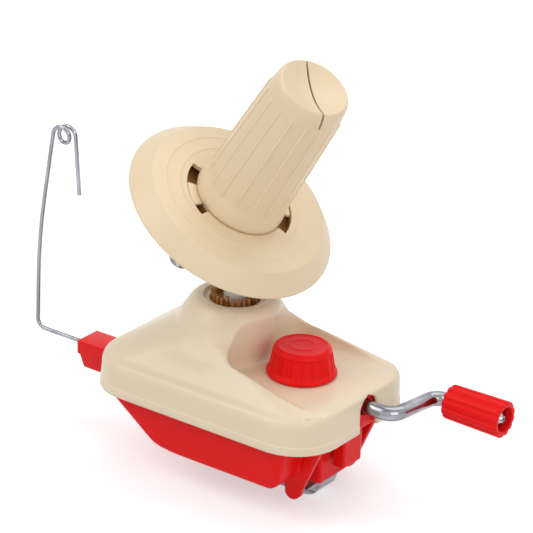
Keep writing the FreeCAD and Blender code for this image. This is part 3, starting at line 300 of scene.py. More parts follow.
# Stage, in metres: each lamp's name, place and width, then the camera fitted to the photograph
FLOOR_GAP = 0.0004
LAMP_TARGET = Vector((0.01, 0, 0.08))
LAMPS = (("key", (-0.55, -0.75, 1.05), 0.7), ("fill", (1.05, -0.55, 0.55), 0.8),
         ("top", (0.1, 0.5, 1.25), 0.9))
CAMERA_TARGET = Vector((0.01912, 0, 0.09982))
CAMERA_AZIMUTH = math.radians(35.13)
CAMERA_ELEVATION = math.radians(23.79)
CAMERA_ROLL = math.radians(2.344)
CAMERA_DISTANCE = 1.6917
SENSOR = 36.0
FOCAL_PIXELS = 3294.0
PHOTO_PIXELS = 533.0


# Sizes and finishes that a user sets

def length(name, description, default):
    return FloatProperty(name=name, description=description, default=default * MM, unit="LENGTH",
                         precision=4, min=0.0)


def colour(name, description, default):
    return FloatVectorProperty(name=name, description=description, default=default, subtype="COLOR",
                               size=3, min=0.0, max=1.0)


def strength(name, description, default):
    return FloatProperty(name=name, description=description, default=default, min=0.0)


class HousingSizes(bpy.types.PropertyGroup):
    wall: length("Wall", "Thickness of the cover's walls", 2.0)
    edge: length("Edge", "Width over which the cover's creases are rounded", 0.8)
    neck_blend: length("Neck Blend", "Width over which the roof runs into the neck", 10.0)
    lip: length("Lip", "How far the cover's lip stands out", 0.35)
    cell: length("Cell", "Width of the mesh faces on the moulded shells", 0.95)


class SpoolSizes(bpy.types.PropertyGroup):
    ribs: IntProperty(name="Ribs", description="Raised ribs round the spool", default=16, min=3)
    rib_width: length("Rib Width", "Width of one rib", 1.0)
    rib_height: length("Rib Height", "How far a rib stands out", 0.75)
    slit: length("Slit", "Width of the yarn slit across the spool's head", 1.1)
    line: length("Line", "Height of the fine rings on the saucer", 0.22)


class CrankSizes(bpy.types.PropertyGroup):
    rod: length("Rod Radius", "Radius of the bent rod", 4.0)
    bend: length("Bend Radius", "Radius of the rod's bends", 7.5)
    ribs: IntProperty(name="Grip Ribs", description="Ridges along the grip", default=12, min=3)
    rib_depth: length("Rib Depth", "Depth between the grip's ridges", 0.8)


class KnobSizes(bpy.types.PropertyGroup):
    flats: IntProperty(name="Flats", description="Flats round the knob's side", default=20, min=6)
    flat_depth: length("Flat Depth", "Depth of a flat below the knob's edge radius", 0.6)


class GuideSizes(bpy.types.PropertyGroup):
    wire: length("Wire Radius", "Radius of the guide's wire", 1.15)
    eye: length("Eye Radius", "Radius of the eye's turn", 4.5)
    bow: length("Bow", "Radius of the wire's slow bend", 360.0)


class Finishes(bpy.types.PropertyGroup):
    cream: colour("Cream", "Colour of the cover", (0.79, 0.65, 0.465))
    spool: colour("Spool", "Colour of the saucer and spool", (0.78, 0.625, 0.41))
    red: colour("Red", "Colour of the base, knob and grip", (0.80, 0.007, 0.007))
    # The tan colour also stands as painted shade in the saucer's channel, seen through its windows.
    nylon: colour("Nylon", "Colour of the tan bearing parts", (0.40, 0.18, 0.045))
    # The steel colour is darker than the bare metal: painted dark reflection.
    steel: colour("Steel", "Colour of the plated rod and wire", (0.34, 0.34, 0.37))


class StageSizes(bpy.types.PropertyGroup):
    floor: length("Floor", "Width of the floor", 9000.0)
    paper: colour("Paper", "Colour of the floor", (0.72, 0.72, 0.72))
    key: strength("Key", "Power of the main lamp", 4.2)
    fill: strength("Fill", "Power of the second lamp", 3.2)
    top: strength("Top", "Power of the lamp above", 4.2)
    sky: strength("Sky", "Strength of the light from all round", 0.68)
    glow: strength("Glow", "White that the floor shows to the camera and to reflections", 0.48)


def sizes(name):
    return getattr(bpy.context.scene, "winder_" + name)


# Objects and meshes

def linked(name, data):
    """New object in the scene."""
    made = bpy.data.objects.new(name, data)
    bpy.context.scene.collection.objects.link(made)
    return made


def mesh_from(name, points, faces, smooth=True):
    mesh = bpy.data.meshes.new(name)
    mesh.from_pydata([tuple(p) for p in points], [], [tuple(f) for f in faces])
    mesh.validate()
    if smooth:
        mesh.shade_smooth()
    return mesh


def written(work, mesh):
    """The mesh with a work mesh written into it."""
    work.to_mesh(mesh)
    work.free()
    return mesh


def crease(mesh, degrees=32):
    mesh.shade_smooth()
    mesh.set_sharp_from_angle(angle=math.radians(degrees))


def place(mesh, matrix=Matrix.Identity(4)):
    """Move a mesh drawn in millimetres to its place in metres."""
    mesh.transform(Matrix.Scale(MM, 4) @ matrix)
    mesh.update()


def add_piece(name, mesh, body, look, *nodes):
    """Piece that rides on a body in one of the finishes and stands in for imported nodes."""
    piece = linked(name, mesh)
    mesh.materials.clear()
    mesh.materials.append(FINISH[look])
    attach(piece, body)
    if nodes:
        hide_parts(*nodes)


# Distances, negative inside

def smooth_max(a, b, width):
    share = np.clip(0.5 + 0.5 * (a - b) / width, 0, 1)
    return b + (a - b) * share + width * share * (1 - share)


def smooth_min(a, b, width):
    return -smooth_max(-a, -b, width)


def common(*parts):
    """Space that all the parts share."""
    return reduce(np.maximum, parts)


def without(space, *parts):
    """Space less what the parts share."""
    return np.maximum(space, -common(*parts))


def filleted(a, b, radius):
    """Space shared by two others, with an arc where they meet."""
    across, along = a + radius, b + radius
    outside = np.hypot(np.maximum(across, 0), np.maximum(along, 0))
    return outside + np.minimum(np.maximum(across, along), 0) - radius


def soft_step(at, places, values, spread):
    """Values read along a line with its corners rounded over the spread."""
    shifts = np.linspace(-1, 1, 7) * spread
    return sum(np.interp(at + s, places, values) for s in shifts) / len(shifts)


def plan_distance(x, y, start, end, half, corner):
    """Distance to a rectangle with round corners."""
    across = np.abs(x - (start + end) / 2) - (end - start) / 2 + corner
    along = np.abs(y) - half + corner
    outside = np.hypot(np.maximum(across, 0), np.maximum(along, 0))
    return outside + np.minimum(np.maximum(across, along), 0) - corner


def outline_distance(x, z, corners, width):
    """Distance to a convex outline, corners counted anticlockwise, its edges rounded."""
    sides = []
    for (x0, z0), (x1, z1) in zip(corners, corners[1:] + corners[:1]):
        run, rise = x1 - x0, z1 - z0
        sides.append(((x - x0) * rise - (z - z0) * run) / math.hypot(run, rise))
    return reduce(lambda a, b: smooth_max(a, b, width), sides)


def box_distance(x, y, z, low, high):
    return common(*(np.maximum(a - v, v - b) for v, a, b in zip((x, y, z), low, high)))


def even(distance, x, y, z):
    """Distance rescaled so that it grows evenly away from its surface."""
    step = 0.02
    here = distance(x, y, z)
    slopes = [(distance(x + dx, y + dy, z + dz) - here) / step
              for dx, dy, dz in ((step, 0, 0), (0, step, 0), (0, 0, step))]
    return here / np.maximum(np.sqrt(sum(s * s for s in slopes)), 0.3)


# Closed meshes of the surface on which a distance is zero

def surface_net(field, axes, cell):
    """A point in each cell that the surface crosses, and the faces between the points."""
    inside = field < 0
    spans = [slice(0, -1), slice(1, None)]
    corners = [(i, j, k) for i in (0, 1) for j in (0, 1) for k in (0, 1)]
    filled = sum(inside[spans[i], spans[j], spans[k]].astype(np.int8) for i, j, k in corners)
    mixed = (filled > 0) & (filled < 8)
    index = np.full(mixed.shape, -1)
    index[mixed] = np.arange(mixed.sum())
    cells = np.argwhere(mixed)
    values = {c: field[tuple((cells + c).T)] for c in corners}
    total = np.zeros((len(cells), 3))
    hits = np.zeros(len(cells))
    for a in corners:
        for axis in range(3):
            if a[axis]:
                continue
            b = tuple(v + (1 if n == axis else 0) for n, v in enumerate(a))
            crossed = (values[a] < 0) != (values[b] < 0)
            share = values[a][crossed] / (values[a][crossed] - values[b][crossed])
            point = np.tile(np.array(a, float), (crossed.sum(), 1))
            point[:, axis] += share
            total[crossed] += point
            hits[crossed] += 1
    points = np.array([axis[0] for axis in axes]) + (cells + total / hits[:, None]) * cell
    around = {0: ((0, -1, -1), (0, 0, -1), (0, 0, 0), (0, -1, 0)),
              1: ((-1, 0, -1), (-1, 0, 0), (0, 0, 0), (0, 0, -1)),
              2: ((-1, -1, 0), (0, -1, 0), (0, 0, 0), (-1, 0, 0))}
    faces = []
    for axis, turns in around.items():
        first = [slice(None)] * 3
        second = [slice(None)] * 3
        first[axis], second[axis] = spans
        changed = np.argwhere(inside[tuple(first)] != inside[tuple(second)])
        leaving = inside[tuple(changed.T)]
        quads = np.stack([index[tuple((changed + t).T)] for t in turns], axis=1)
        quads[~leaving] = quads[~leaving][:, ::-1]
        faces.append(quads)
    faces = np.concatenate(faces)
    return points, faces[(faces >= 0).all(1)]


def settled(start, distance, cell):
    """Points moved onto the surface, none out of its own cell."""
    step = 0.02
    stray = cell * 0.45
    points = start
    for _ in range(3):
        here = distance(*points.T)
        slope = np.stack([(distance(*(points + s).T) - here) / step for s in np.eye(3) * step], axis=1)
        move = here[:, None] * slope / np.maximum((slope ** 2).sum(1, keepdims=True), 0.2)
        points = start + np.clip(points - move - start, -stray, stray)
    return points


def unit(vectors):
    return vectors / np.maximum(np.linalg.norm(vectors, axis=1, keepdims=True), 1e-9)


def unfold(points, start, faces, distance):
    """Put the points of faces that turn away from the surface back where they began."""
    step = 0.05
    for _ in range(3):
        quads = points[faces]
        facing = unit(np.cross(quads[:, 2] - quads[:, 0], quads[:, 3] - quads[:, 1]))
        centre = quads.mean(1)
        slope = unit(np.stack([distance(*(centre + s).T) - distance(*(centre - s).T)
                               for s in np.eye(3) * step], axis=1))
        folded = np.unique(faces[(facing * slope).sum(1) < 0.5])
        points[folded] = start[folded]


def skin(name, distance, low, high):
    """Closed mesh, in metres, of a distance's surface between two corners."""
    cell = sizes("housing").cell / MM
    axes = [np.arange(a - 1.5 * cell, b + 2.5 * cell, cell) for a, b in zip(low, high)]
    start, faces = surface_net(distance(*np.meshgrid(*axes, indexing="ij")), axes, cell)
    points = settled(start, distance, cell)
    unfold(points, start, faces, distance)
    mesh = mesh_from(name, points, faces)
    place(mesh)
    return mesh


# Turned, cut and repeated meshes

def rounded(profile, radius, steps=4):
    """Outline with its corners turned into arcs no wider than half of the next edge."""
    result = []
    for n, (r, z) in enumerate(profile):
        here = Vector((r, z))
        before = Vector(profile[n - 1]) - here
        after = Vector(profile[(n + 1) % len(profile)]) - here
        if r < 1e-6 or before.length < 1e-6 or after.length < 1e-6:
            result.append((r, z))
            continue
        size = min(radius, before.length * 0.45, after.length * 0.45)
        start, end = here + before.normalized() * size, here + after.normalized() * size
        for s in range(steps + 1):
            t = s / steps
            point = start * (1 - t) ** 2 + here * 2 * t * (1 - t) + end * t ** 2
            result.append((point.x, point.y))
    return result


def turned(name, profile, segments=128, swell=None):
    """Solid of revolution about Z; swell(angle, radius, height) changes a point's radius."""
    angles = np.arange(segments) * 2 * math.pi / segments
    points, rings = [], []
    for r, z in profile:
        if r < 1e-6:
            rings.append([len(points)] * segments)
            points.append((0, 0, z))
            continue
        rings.append(list(range(len(points), len(points) + segments)))
        for a in angles:
            wide = r if swell is None else r + swell(a, r, z)
            points.append((wide * math.cos(a), wide * math.sin(a), z))
    faces = []
    for low, high in zip(rings, rings[1:] + rings[:1]):
        for k in range(segments):
            n = (k + 1) % segments
            face = list(dict.fromkeys([low[k], low[n], high[n], high[k]]))
            if len(face) > 2:
                faces.append(face)
    mesh = mesh_from(name, points, faces)
    work = bmesh.new()
    work.from_mesh(mesh)
    bmesh.ops.recalc_face_normals(work, faces=work.faces)
    return written(work, mesh)


def wave(angle, count):
    """Place within one of the repeats round a circle, from 1 at its edge to 0 in its middle."""
    return abs(2 * ((count * angle / (2 * math.pi)) % 1.0) - 1)


def sector(name, outer, inner, start, angle, low, high, bevel=0.0):
    """Part of a ring between two heights, from a start angle onwards."""
    work = bmesh.new()
    rings = []
    steps = max(4, int(angle / 2))
    for k in range(steps + 1):
        a = math.radians(start + angle * k / steps)
        rings.append([work.verts.new((r * math.cos(a), r * math.sin(a), z))
                      for r, z in ((inner, low), (outer, low), (outer, high), (inner, high))])
    work.faces.new(rings[0])
    work.faces.new(rings[-1][::-1])
    for before, after in zip(rings, rings[1:]):
        for n in range(4):
            m = (n + 1) % 4
            work.faces.new([before[m], before[n], after[n], after[m]])
    bmesh.ops.recalc_face_normals(work, faces=work.faces)
    if bevel:
        edges = [e for e in work.edges if e.calc_face_angle(0.0) > 0.5]
        bmesh.ops.bevel(work, geom=edges, offset=bevel, segments=2, profile=0.5, affect="EDGES")
    return written(work, bpy.data.meshes.new(name))


def block(name, outline, half, bevel, segments=3):
    """Plate cut to an outline in XZ, as thick to each side of Y, with its edges rounded."""
    work = bmesh.new()
    front = [work.verts.new((x, -half, z)) for x, z in outline]
    back = [work.verts.new((x, half, z)) for x, z in outline]
    work.faces.new(front)
    work.faces.new(back[::-1])
    for n in range(len(outline)):
        m = (n + 1) % len(outline)
        work.faces.new([front[n], back[n], back[m], front[m]])
    bmesh.ops.recalc_face_normals(work, faces=work.faces)
    if bevel:
        bmesh.ops.bevel(work, geom=work.edges[:], offset=bevel, segments=segments, profile=0.5,
                        affect="EDGES", clamp_overlap=True)
    mesh = written(work, bpy.data.meshes.new(name))
    crease(mesh)
    return mesh


def arched_rib(half, rise):
    """Rib with a round back and tapered ends, along the spool's side."""
    points, faces = [], []
    arc = 8
    ring = arc + 3
    for along, full in RIB_ENDS:
        r, z = (a + (b - a) * along for a, b in zip(RIB_FOOT, RIB_HEAD))
        for k in range(arc + 1):
            a = math.pi * k / arc
            points.append((r + rise * full * math.sin(a), -half * math.cos(a), z))
        points += [(r - RIB_SINK, half, z), (r - RIB_SINK, -half, z)]
    for n in range(len(RIB_ENDS) - 1):
        for k in range(ring):
            m = (k + 1) % ring
            faces.append((n * ring + k, n * ring + m, n * ring + ring + m, n * ring + ring + k))
    faces += [tuple(range(ring - 1, -1, -1)), tuple(range(len(points) - ring, len(points)))]
    mesh = mesh_from("rib", points, faces)
    crease(mesh, 50)
    return mesh


def joined(name, meshes):
    """One mesh made of several."""
    work = bmesh.new()
    for mesh in meshes:
        work.from_mesh(mesh)
    return written(work, bpy.data.meshes.new(name))


def evaluated(piece):
    """Plain mesh of a piece with its modifiers applied."""
    bpy.context.view_layer.update()
    graph = bpy.context.evaluated_depsgraph_get()
    return bpy.data.meshes.new_from_object(piece.evaluated_get(graph), depsgraph=graph)


def cut(mesh, cutters, name):
    """Mesh with the cutters' solids taken out."""
    target = linked(name, mesh)
    helpers = [linked("cutter", cutter) for cutter in cutters]
    for helper in helpers:
        modifier = target.modifiers.new("cut", "BOOLEAN")
        modifier.operation = "DIFFERENCE"
        modifier.solver = "EXACT"
        modifier.object = helper
    result = evaluated(target)
    for made in helpers + [target]:
        bpy.data.objects.remove(made)
    return result


def node_copy(name, node):
    """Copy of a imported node's mesh with its points merged and its curved faces smooth."""
    mesh = frame["nodes"][node].data.copy()
    mesh.name = name
    work = bmesh.new()
    work.from_mesh(mesh)
    bmesh.ops.remove_doubles(work, verts=work.verts, dist=1e-7)
    written(work, mesh)
    if mesh.has_custom_normals:
        mesh.attributes.remove(mesh.attributes["custom_normal"])
    crease(mesh, 28)
    return mesh


# Node trees

def new_group(name, kind, inputs, outputs):
    """Node group with its sockets, the sockets that it is given and its output node."""
    tree = bpy.data.node_groups.new(name, kind)
    for way, rows in (("INPUT", inputs), ("OUTPUT", outputs)):
        for label, sort, *default in rows:
            socket = tree.interface.new_socket(label, in_out=way, socket_type="NodeSocket" + sort)
            if default:
                socket.default_value = default[0]
    return tree, tree.nodes.new("NodeGroupInput").outputs, tree.nodes.new("NodeGroupOutput")


def feed(tree, target, inputs):
    """Fill a node's inputs, each from a socket, from a node's first output or with a value."""
    for key, value in inputs.items():
        if isinstance(value, bpy.types.Node):
            value = value.outputs[0]
        if isinstance(value, bpy.types.NodeSocket):
            tree.links.new(value, target.inputs[key])
        else:
            target.inputs[key].default_value = value


def add_node(tree, kind, inputs=None, **settings):
    made = tree.nodes.new(kind)
    for label, value in settings.items():
        setattr(made, label, value)
    feed(tree, made, inputs or {})
    return made


def maths(tree, operation, *terms):
    return add_node(tree, "ShaderNodeMath", dict(enumerate(terms)), operation=operation)


BEND_STEPS = 14
TREES = {}


def finished(tree, given, out, geometry):
    """Make the geometry real, give it its finish and put it out."""
    real = add_node(tree, "GeometryNodeRealizeInstances", {0: geometry})
    paint = add_node(tree, "GeometryNodeSetMaterial", {"Geometry": real, "Material": given["Finish"]})
    feed(tree, out, {0: paint})


def round_repeat_tree():
    """Copies of one piece set evenly round the Z axis."""
    tree, given, out = new_group("Round Repeat", "GeometryNodeTree", [
        ("Geometry", "Geometry"), ("Piece", "Object"), ("Count", "Int", 12), ("Start", "Float", 0.0),
        ("Finish", "Material")], [("Geometry", "Geometry")])
    step = maths(tree, "DIVIDE", 2 * math.pi, given["Count"])
    turn = maths(tree, "MULTIPLY_ADD", add_node(tree, "GeometryNodeInputIndex"), step, given["Start"])
    copies = add_node(tree, "GeometryNodeInstanceOnPoints", {
        "Points": add_node(tree, "GeometryNodePoints", {"Count": given["Count"]}),
        "Instance": add_node(tree, "GeometryNodeObjectInfo", {"Object": given["Piece"]}).outputs["Geometry"],
        "Rotation": add_node(tree, "ShaderNodeCombineXYZ", {"Z": turn})})
    finished(tree, given, out, copies)
    return tree


def placed_repeat_tree():
    """Copies of one piece set on the points of a mesh, all turned one way."""
    tree, given, out = new_group("Placed Repeat", "GeometryNodeTree", [
        ("Geometry", "Geometry"), ("Piece", "Object"), ("Turn", "Vector", (0.0, 0.0, 0.0)),
        ("Finish", "Material")], [("Geometry", "Geometry")])
    copies = add_node(tree, "GeometryNodeInstanceOnPoints", {
        "Points": add_node(tree, "GeometryNodeMeshToPoints", {0: given["Geometry"]}),
        "Instance": add_node(tree, "GeometryNodeObjectInfo", {"Object": given["Piece"]}).outputs["Geometry"],
        "Rotation": given["Turn"]})
    finished(tree, given, out, copies)
    return tree


def rod_tree():
    """Round rod along a path, its corners bent to a radius."""
    tree, given, out = new_group("Bent Rod", "GeometryNodeTree", [
        ("Geometry", "Geometry"), ("Radius", "Float", 0.004), ("Bend", "Float", 0.0075),
        ("Sides", "Int", 32), ("Finish", "Material")], [("Geometry", "Geometry")])
    fillet = add_node(tree, "GeometryNodeFilletCurve", {
        0: given["Geometry"], "Radius": given["Bend"], "Count": BEND_STEPS, "Limit Radius": True},
        mode="POLY")
    ring = add_node(tree, "GeometryNodeCurvePrimitiveCircle", {
        "Resolution": given["Sides"], "Radius": given["Radius"]})
    sweep = add_node(tree, "GeometryNodeCurveToMesh", {
        "Curve": fillet, "Profile Curve": ring, "Fill Caps": True})
    finished(tree, given, out, add_node(tree, "GeometryNodeSetShadeSmooth", {0: sweep}))
    return tree


def grown(name, data, tree, values):
    """Plain mesh that a tree makes of some data, with its inputs set by name."""
    carrier = linked(name, data)
    modifier = carrier.modifiers.new(name, "NODES")
    modifier.node_group = tree
    for item in tree.interface.items_tree:
        if item.item_type == "SOCKET" and item.in_out == "INPUT" and item.name in values:
            modifier[item.identifier] = values[item.name]
    mesh = evaluated(carrier)
    bpy.data.objects.remove(carrier)
    mesh.name = name
    return mesh


def copies_of(template, name, seeds, tree, values):
    """Mesh that a repeating tree makes of a template drawn in millimetres."""
    helper = linked("template", template)
    mesh = grown(name, seeds, TREES[tree], dict(values, Piece=helper))
    bpy.data.objects.remove(helper)
    return mesh


def round_copies(name, template, count, start, look):
    return copies_of(template, name, bpy.data.meshes.new("seed"), "round",
                     {"Count": count, "Start": start, "Finish": FINISH[look]})


def placed_copies(name, template, points, turn, look):
    return copies_of(template, name, mesh_from("seeds", points, [], smooth=False), "placed",
                     {"Turn": turn, "Finish": FINISH[look]})


def rod(name, points, radius, bend, look, sides):
    path = bpy.data.curves.new(name, "CURVE")
    path.dimensions = "3D"
    spline = path.splines.new("POLY")
    spline.points.add(len(points) - 1)
    for point, at in zip(spline.points, points):
        point.co = (at[0] * MM, at[1] * MM, at[2] * MM, 1)
    mesh = grown(name, path, TREES["rod"],
                 {"Radius": radius, "Bend": bend, "Sides": sides, "Finish": FINISH[look]})
    crease(mesh, 40)
    return mesh


def bend_points(before, corner, after, radius, steps=16):
    """Points on the arc that rounds a corner between two straight runs."""
    ahead, back = (after - corner).normalized(), (before - corner).normalized()
    half = ahead.angle(back) / 2
    centre = corner + (ahead + back).normalized() * radius / math.sin(half)
    start = corner + back * radius / math.tan(half) - centre
    stop = corner + ahead * radius / math.tan(half) - centre
    return [centre + start.slerp(stop, k / steps) * radius for k in range(steps + 1)]


# Finishes

SURFACE = [("Color", "Color"), ("Roughness", "Float"), ("Height", "Float")]
# A line round a moulded piece: how far from its height it reaches, its painted highlight as a factor on the
# colour, and its relief.
LINE_EDGES = (0.0001, 0.0005)
LINE_HIGHLIGHT = 1.1
LINE_RELIEF = 10.0
BUMP_DEPTH = 0.00002
SHARED = {}
FINISH = {}


def noise(tree, at, scale, detail):
    return add_node(tree, "ShaderNodeTexNoise", {"Vector": at, "Scale": scale, "Detail": detail})


def varied(tree, texture, amount, base):
    """A texture's changes about its middle value, times an amount, added to a base."""
    return maths(tree, "MULTIPLY_ADD", maths(tree, "SUBTRACT", texture, 0.5), amount, base)


def scaled(tree, vector, factor):
    return add_node(tree, "ShaderNodeVectorMath", {0: vector, "Scale": factor}, operation="SCALE")


def moulding_group():
    """Faint sheen and colour changes, fine skin, and one line round the piece at a set height: a slight
    relief with a painted highlight along it.
    """
    tree, given, out = new_group("Moulded Skin", "ShaderNodeTree", [
        ("Color", "Color", (0.8, 0.8, 0.8, 1)), ("Shade", "Float", 0.06), ("Roughness", "Float", 0.3),
        ("Sheen Change", "Float", 0.08), ("Patch", "Float", 26.0), ("Skin", "Float", 1400.0),
        ("Line At", "Float", -1.0)], SURFACE)
    at = add_node(tree, "ShaderNodeTexCoord").outputs["Object"]
    patch = noise(tree, at, given["Patch"], 3.0)
    cloud = noise(tree, at, maths(tree, "MULTIPLY", given["Patch"], 6.0), 5.0)
    fine = noise(tree, at, given["Skin"], 2.0)
    height = add_node(tree, "ShaderNodeSeparateXYZ", {0: at}).outputs["Z"]
    away = maths(tree, "ABSOLUTE", maths(tree, "SUBTRACT", height, given["Line At"]))
    # Painted highlight: the colour is made lighter along the line, where the lip's ledge catches the light.
    line = add_node(tree, "ShaderNodeMapRange", {
        "Value": away, "From Min": LINE_EDGES[0], "From Max": LINE_EDGES[1], "To Min": LINE_HIGHLIGHT,
        "To Max": 1.0}, interpolation_type="SMOOTHSTEP").outputs["Result"]
    tone = maths(tree, "MULTIPLY", varied(tree, patch, given["Shade"], 1.0), line)
    feed(tree, out, {"Color": scaled(tree, given["Color"], tone),
                     "Roughness": varied(tree, cloud, given["Sheen Change"], given["Roughness"]),
                     "Height": maths(tree, "MULTIPLY_ADD", line, LINE_RELIEF, fine)})
    return tree


def drawn_metal_and_reflection_group():
    """Drawing lines along one axis, whose colour swings also stand as bands of painted reflection, and a
    slight change of polish.
    """
    tree, given, out = new_group("Drawn Metal", "ShaderNodeTree", [
        ("Color", "Color", (0.6, 0.6, 0.6, 1)), ("Roughness", "Float", 0.2), ("Wear", "Float", 0.1),
        ("Scale", "Float", 500.0), ("Stretch", "Vector", (0.08, 1.0, 1.0)),
        ("Contrast", "Float", 0.5)], SURFACE)
    at = add_node(tree, "ShaderNodeTexCoord").outputs["Object"]
    stretch = add_node(tree, "ShaderNodeVectorMath", {0: at, 1: given["Stretch"]}, operation="MULTIPLY")
    drawn_lines_and_reflections = noise(tree, stretch, given["Scale"], 4.0)
    patch = noise(tree, at, 90.0, 4.0)
    # Painted reflection: the colour swings darker and lighter along the lines, as far as Contrast sets,
    # standing for the surroundings' reflections as well as drawing lines.
    tone = varied(tree, drawn_lines_and_reflections, given["Contrast"], 1.0)
    feed(tree, out, {"Color": scaled(tree, given["Color"], tone),
                     "Roughness": varied(tree, patch, given["Wear"], given["Roughness"]),
                     "Height": drawn_lines_and_reflections})
    return tree


def finish(name, group, values, metallic, gloss, bump):
    material = bpy.data.materials.new(name)
    material.use_nodes = True
    tree = material.node_tree
    surface = add_node(tree, "ShaderNodeGroup", values, node_tree=SHARED[group]).outputs
    relief = add_node(tree, "ShaderNodeBump", {
        "Strength": bump, "Distance": BUMP_DEPTH, "Height": surface["Height"]})
    feed(tree, tree.nodes["Principled BSDF"], {
        "Base Color": surface["Color"], "Roughness": surface["Roughness"], "Normal": relief,
        "Metallic": metallic, "Specular IOR Level": gloss})
    FINISH[name] = material


def plastic(name, shade, roughness, change=0.06, gloss=0.5, bump=0.1, line=-1.0):
    finish(name, "skin", {"Color": (*shade, 1), "Roughness": roughness, "Shade": change,
                          "Line At": line}, 0.0, gloss, bump)


def metal(name, shade, roughness, wear=0.1, contrast=0.5, scale=500.0, stretch=(0.08, 1.0, 1.0),
          bump=0.1):
    finish(name, "metal", {"Color": (*shade, 1), "Roughness": roughness, "Wear": wear, "Scale": scale,
                           "Contrast": contrast, "Stretch": stretch}, 1.0, 0.5, bump)


def build_finishes():
    SHARED["skin"] = moulding_group()
    SHARED["metal"] = drawn_metal_and_reflection_group()
    look = sizes("finishes")
    # The ribs' finish is the spool's colour made lighter: a painted highlight on their raised backs.
    rib_highlight_colour = [min(1.0, v * 1.1) for v in look.spool]
    # The cover's line runs along the top of its lip and carries a painted highlight.
    plastic("cream_cover", look.cream, 0.32, gloss=0.42, line=0.0305)
    plastic("cream_spool", look.spool, 0.36, gloss=0.35)
    plastic("cream_rib", rib_highlight_colour, 0.32, change=0.03, gloss=0.4)
    plastic("red_base", look.red, 0.34, change=0.1, gloss=0.16)
    plastic("red_grip", look.red, 0.36, change=0.08, gloss=0.12)
    # Real tan nylon, whose colour also paints the shade in the saucer's channel.
    plastic("tan_nylon", look.nylon, 0.45, change=0.2, gloss=0.3)
    plastic("white_nylon", (0.74, 0.72, 0.66), 0.4)
    plastic("black_rubber", (0.02, 0.02, 0.022), 0.75, change=0.3, bump=0.4)
    # Painted reflection: steel and chrome get darker colours than bare metal and strong bands along one
    # axis, standing for dark reflections; the fine lines are drawing lines.
    metal("plated_steel", look.steel, 0.17, wear=0.2, contrast=2.2, stretch=(0.12, 0.12, 1.0))
    metal("guide_steel", look.steel, 0.15, wear=0.12, contrast=1.6, stretch=(1.0, 1.0, 0.06))
    metal("bright_chrome", (0.32, 0.32, 0.34), 0.08, wear=0.05, contrast=3.4, scale=260.0,
          stretch=(1.0, 1.0, 0.4))
    metal("brass", (0.72, 0.47, 0.17), 0.26)
    metal("zinc_casting", (0.42, 0.42, 0.44), 0.42, wear=0.3, scale=900.0, stretch=(1.0, 1.0, 1.0),
          bump=0.4)


def seen_rays(tree):
    """One for the rays that show a backdrop, also in metal and through glass."""
    ray = add_node(tree, "ShaderNodeLightPath").outputs
    share = 0.0
    for kind in ("Is Camera Ray", "Is Glossy Ray", "Is Transmission Ray"):
        share = maths(tree, "MAXIMUM", ray[kind], share)
    return share


# Forms of the housing

def cover_sides(x, y, z, spread):
    """Plan of the skirt, shoulder and roof at each height."""
    return plan_distance(x, y, *(soft_step(z, COVER_HEIGHTS, line, spread)
                                 for line in (COVER_NEAR, COVER_FAR, COVER_HALF, COVER_CORNER)))


def pocket_distance(x, y, z):
    """Space cut out of the roof over the knob, up to the scooped neck."""
    spread = (x - POCKET_HALF_AT) * POCKET_SPREAD
    sides = (np.abs(y) - POCKET_HALF - spread - (z - PLATFORM) * POCKET_DRAFT) * POCKET_LEAN
    plan = filleted(POCKET_START - x, sides, POCKET_CORNER)
    room = filleted(plan, PLATFORM - z, POCKET_FOOT)
    scoop = (np.hypot(x, y) - np.interp(z, (PLATFORM, NECK_TOP), SCOOP_RADII)) * SCOOP_LEAN
    return smooth_max(room, -scoop, SCOOP_BLEND)


def cover_form(x, y, z):
    given = sizes("housing")
    spread = given.edge / MM
    roof = even(lambda a, b, c: cover_sides(a, b, c, spread), x, y, z)
    radius = soft_step(z, NECK_HEIGHTS, NECK_RADII, NECK_SOFTNESS)
    neck = smooth_max((np.hypot(x, y) - radius) * NECK_LEAN, z - NECK_TOP, CREST_BLEND)
    neck = np.maximum(neck, NECK_FOOT - z)
    roof = smooth_max(roof, z - ROOF_CAP, ROOF_CAP_BLEND)
    body = smooth_min(roof, neck, given.neck_blend / MM)
    return smooth_max(body, -pocket_distance(x, y, z), CREST_BLEND)


def cover_distance(x, y, z):
    given = sizes("housing")
    lip = given.lip / MM
    form = cover_form(x, y, z)
    outer = form + np.where(z < LIP_TOP, 0.0, lip) - lip * 0.5
    shell = without(smooth_max(outer, SKIRT_BOTTOM - z, COVER_EDGE), form + given.wall / MM)
    radius = np.hypot(x, y)
    shell = np.minimum(shell, common(radius - WEB_RADIUS, WEB_BOTTOM - z, z - MOUTH_BORES[0][1], form))
    bores = [np.maximum(radius - wide, floor - z) for wide, floor in MOUTH_BORES]
    shell = smooth_max(shell, -reduce(np.minimum, bores), COVER_EDGE)
    arch = np.where(z > ARCH_Z, np.hypot(y - ARCH_Y, z - ARCH_Z), np.abs(y - ARCH_Y)) - ARCH_RADIUS
    shell = smooth_max(shell, -np.maximum(arch, ARCH_START - x), COVER_EDGE)
    return without(shell, np.hypot(x - KNOB_X, y - KNOB_Y) - KNOB_HOLE, KNOB_HOLE_BOTTOM - z)


def base_form(x, y, z):
    half = BASE_HALF + BASE_FLARE * z / BASE_HEIGHT
    plan = plan_distance(x, y, *BASE_ENDS, half, BASE_CORNER)
    return smooth_max(plan, outline_distance(x, z, BASE_OUTLINE, BASE_EDGE), BASE_BLEND)


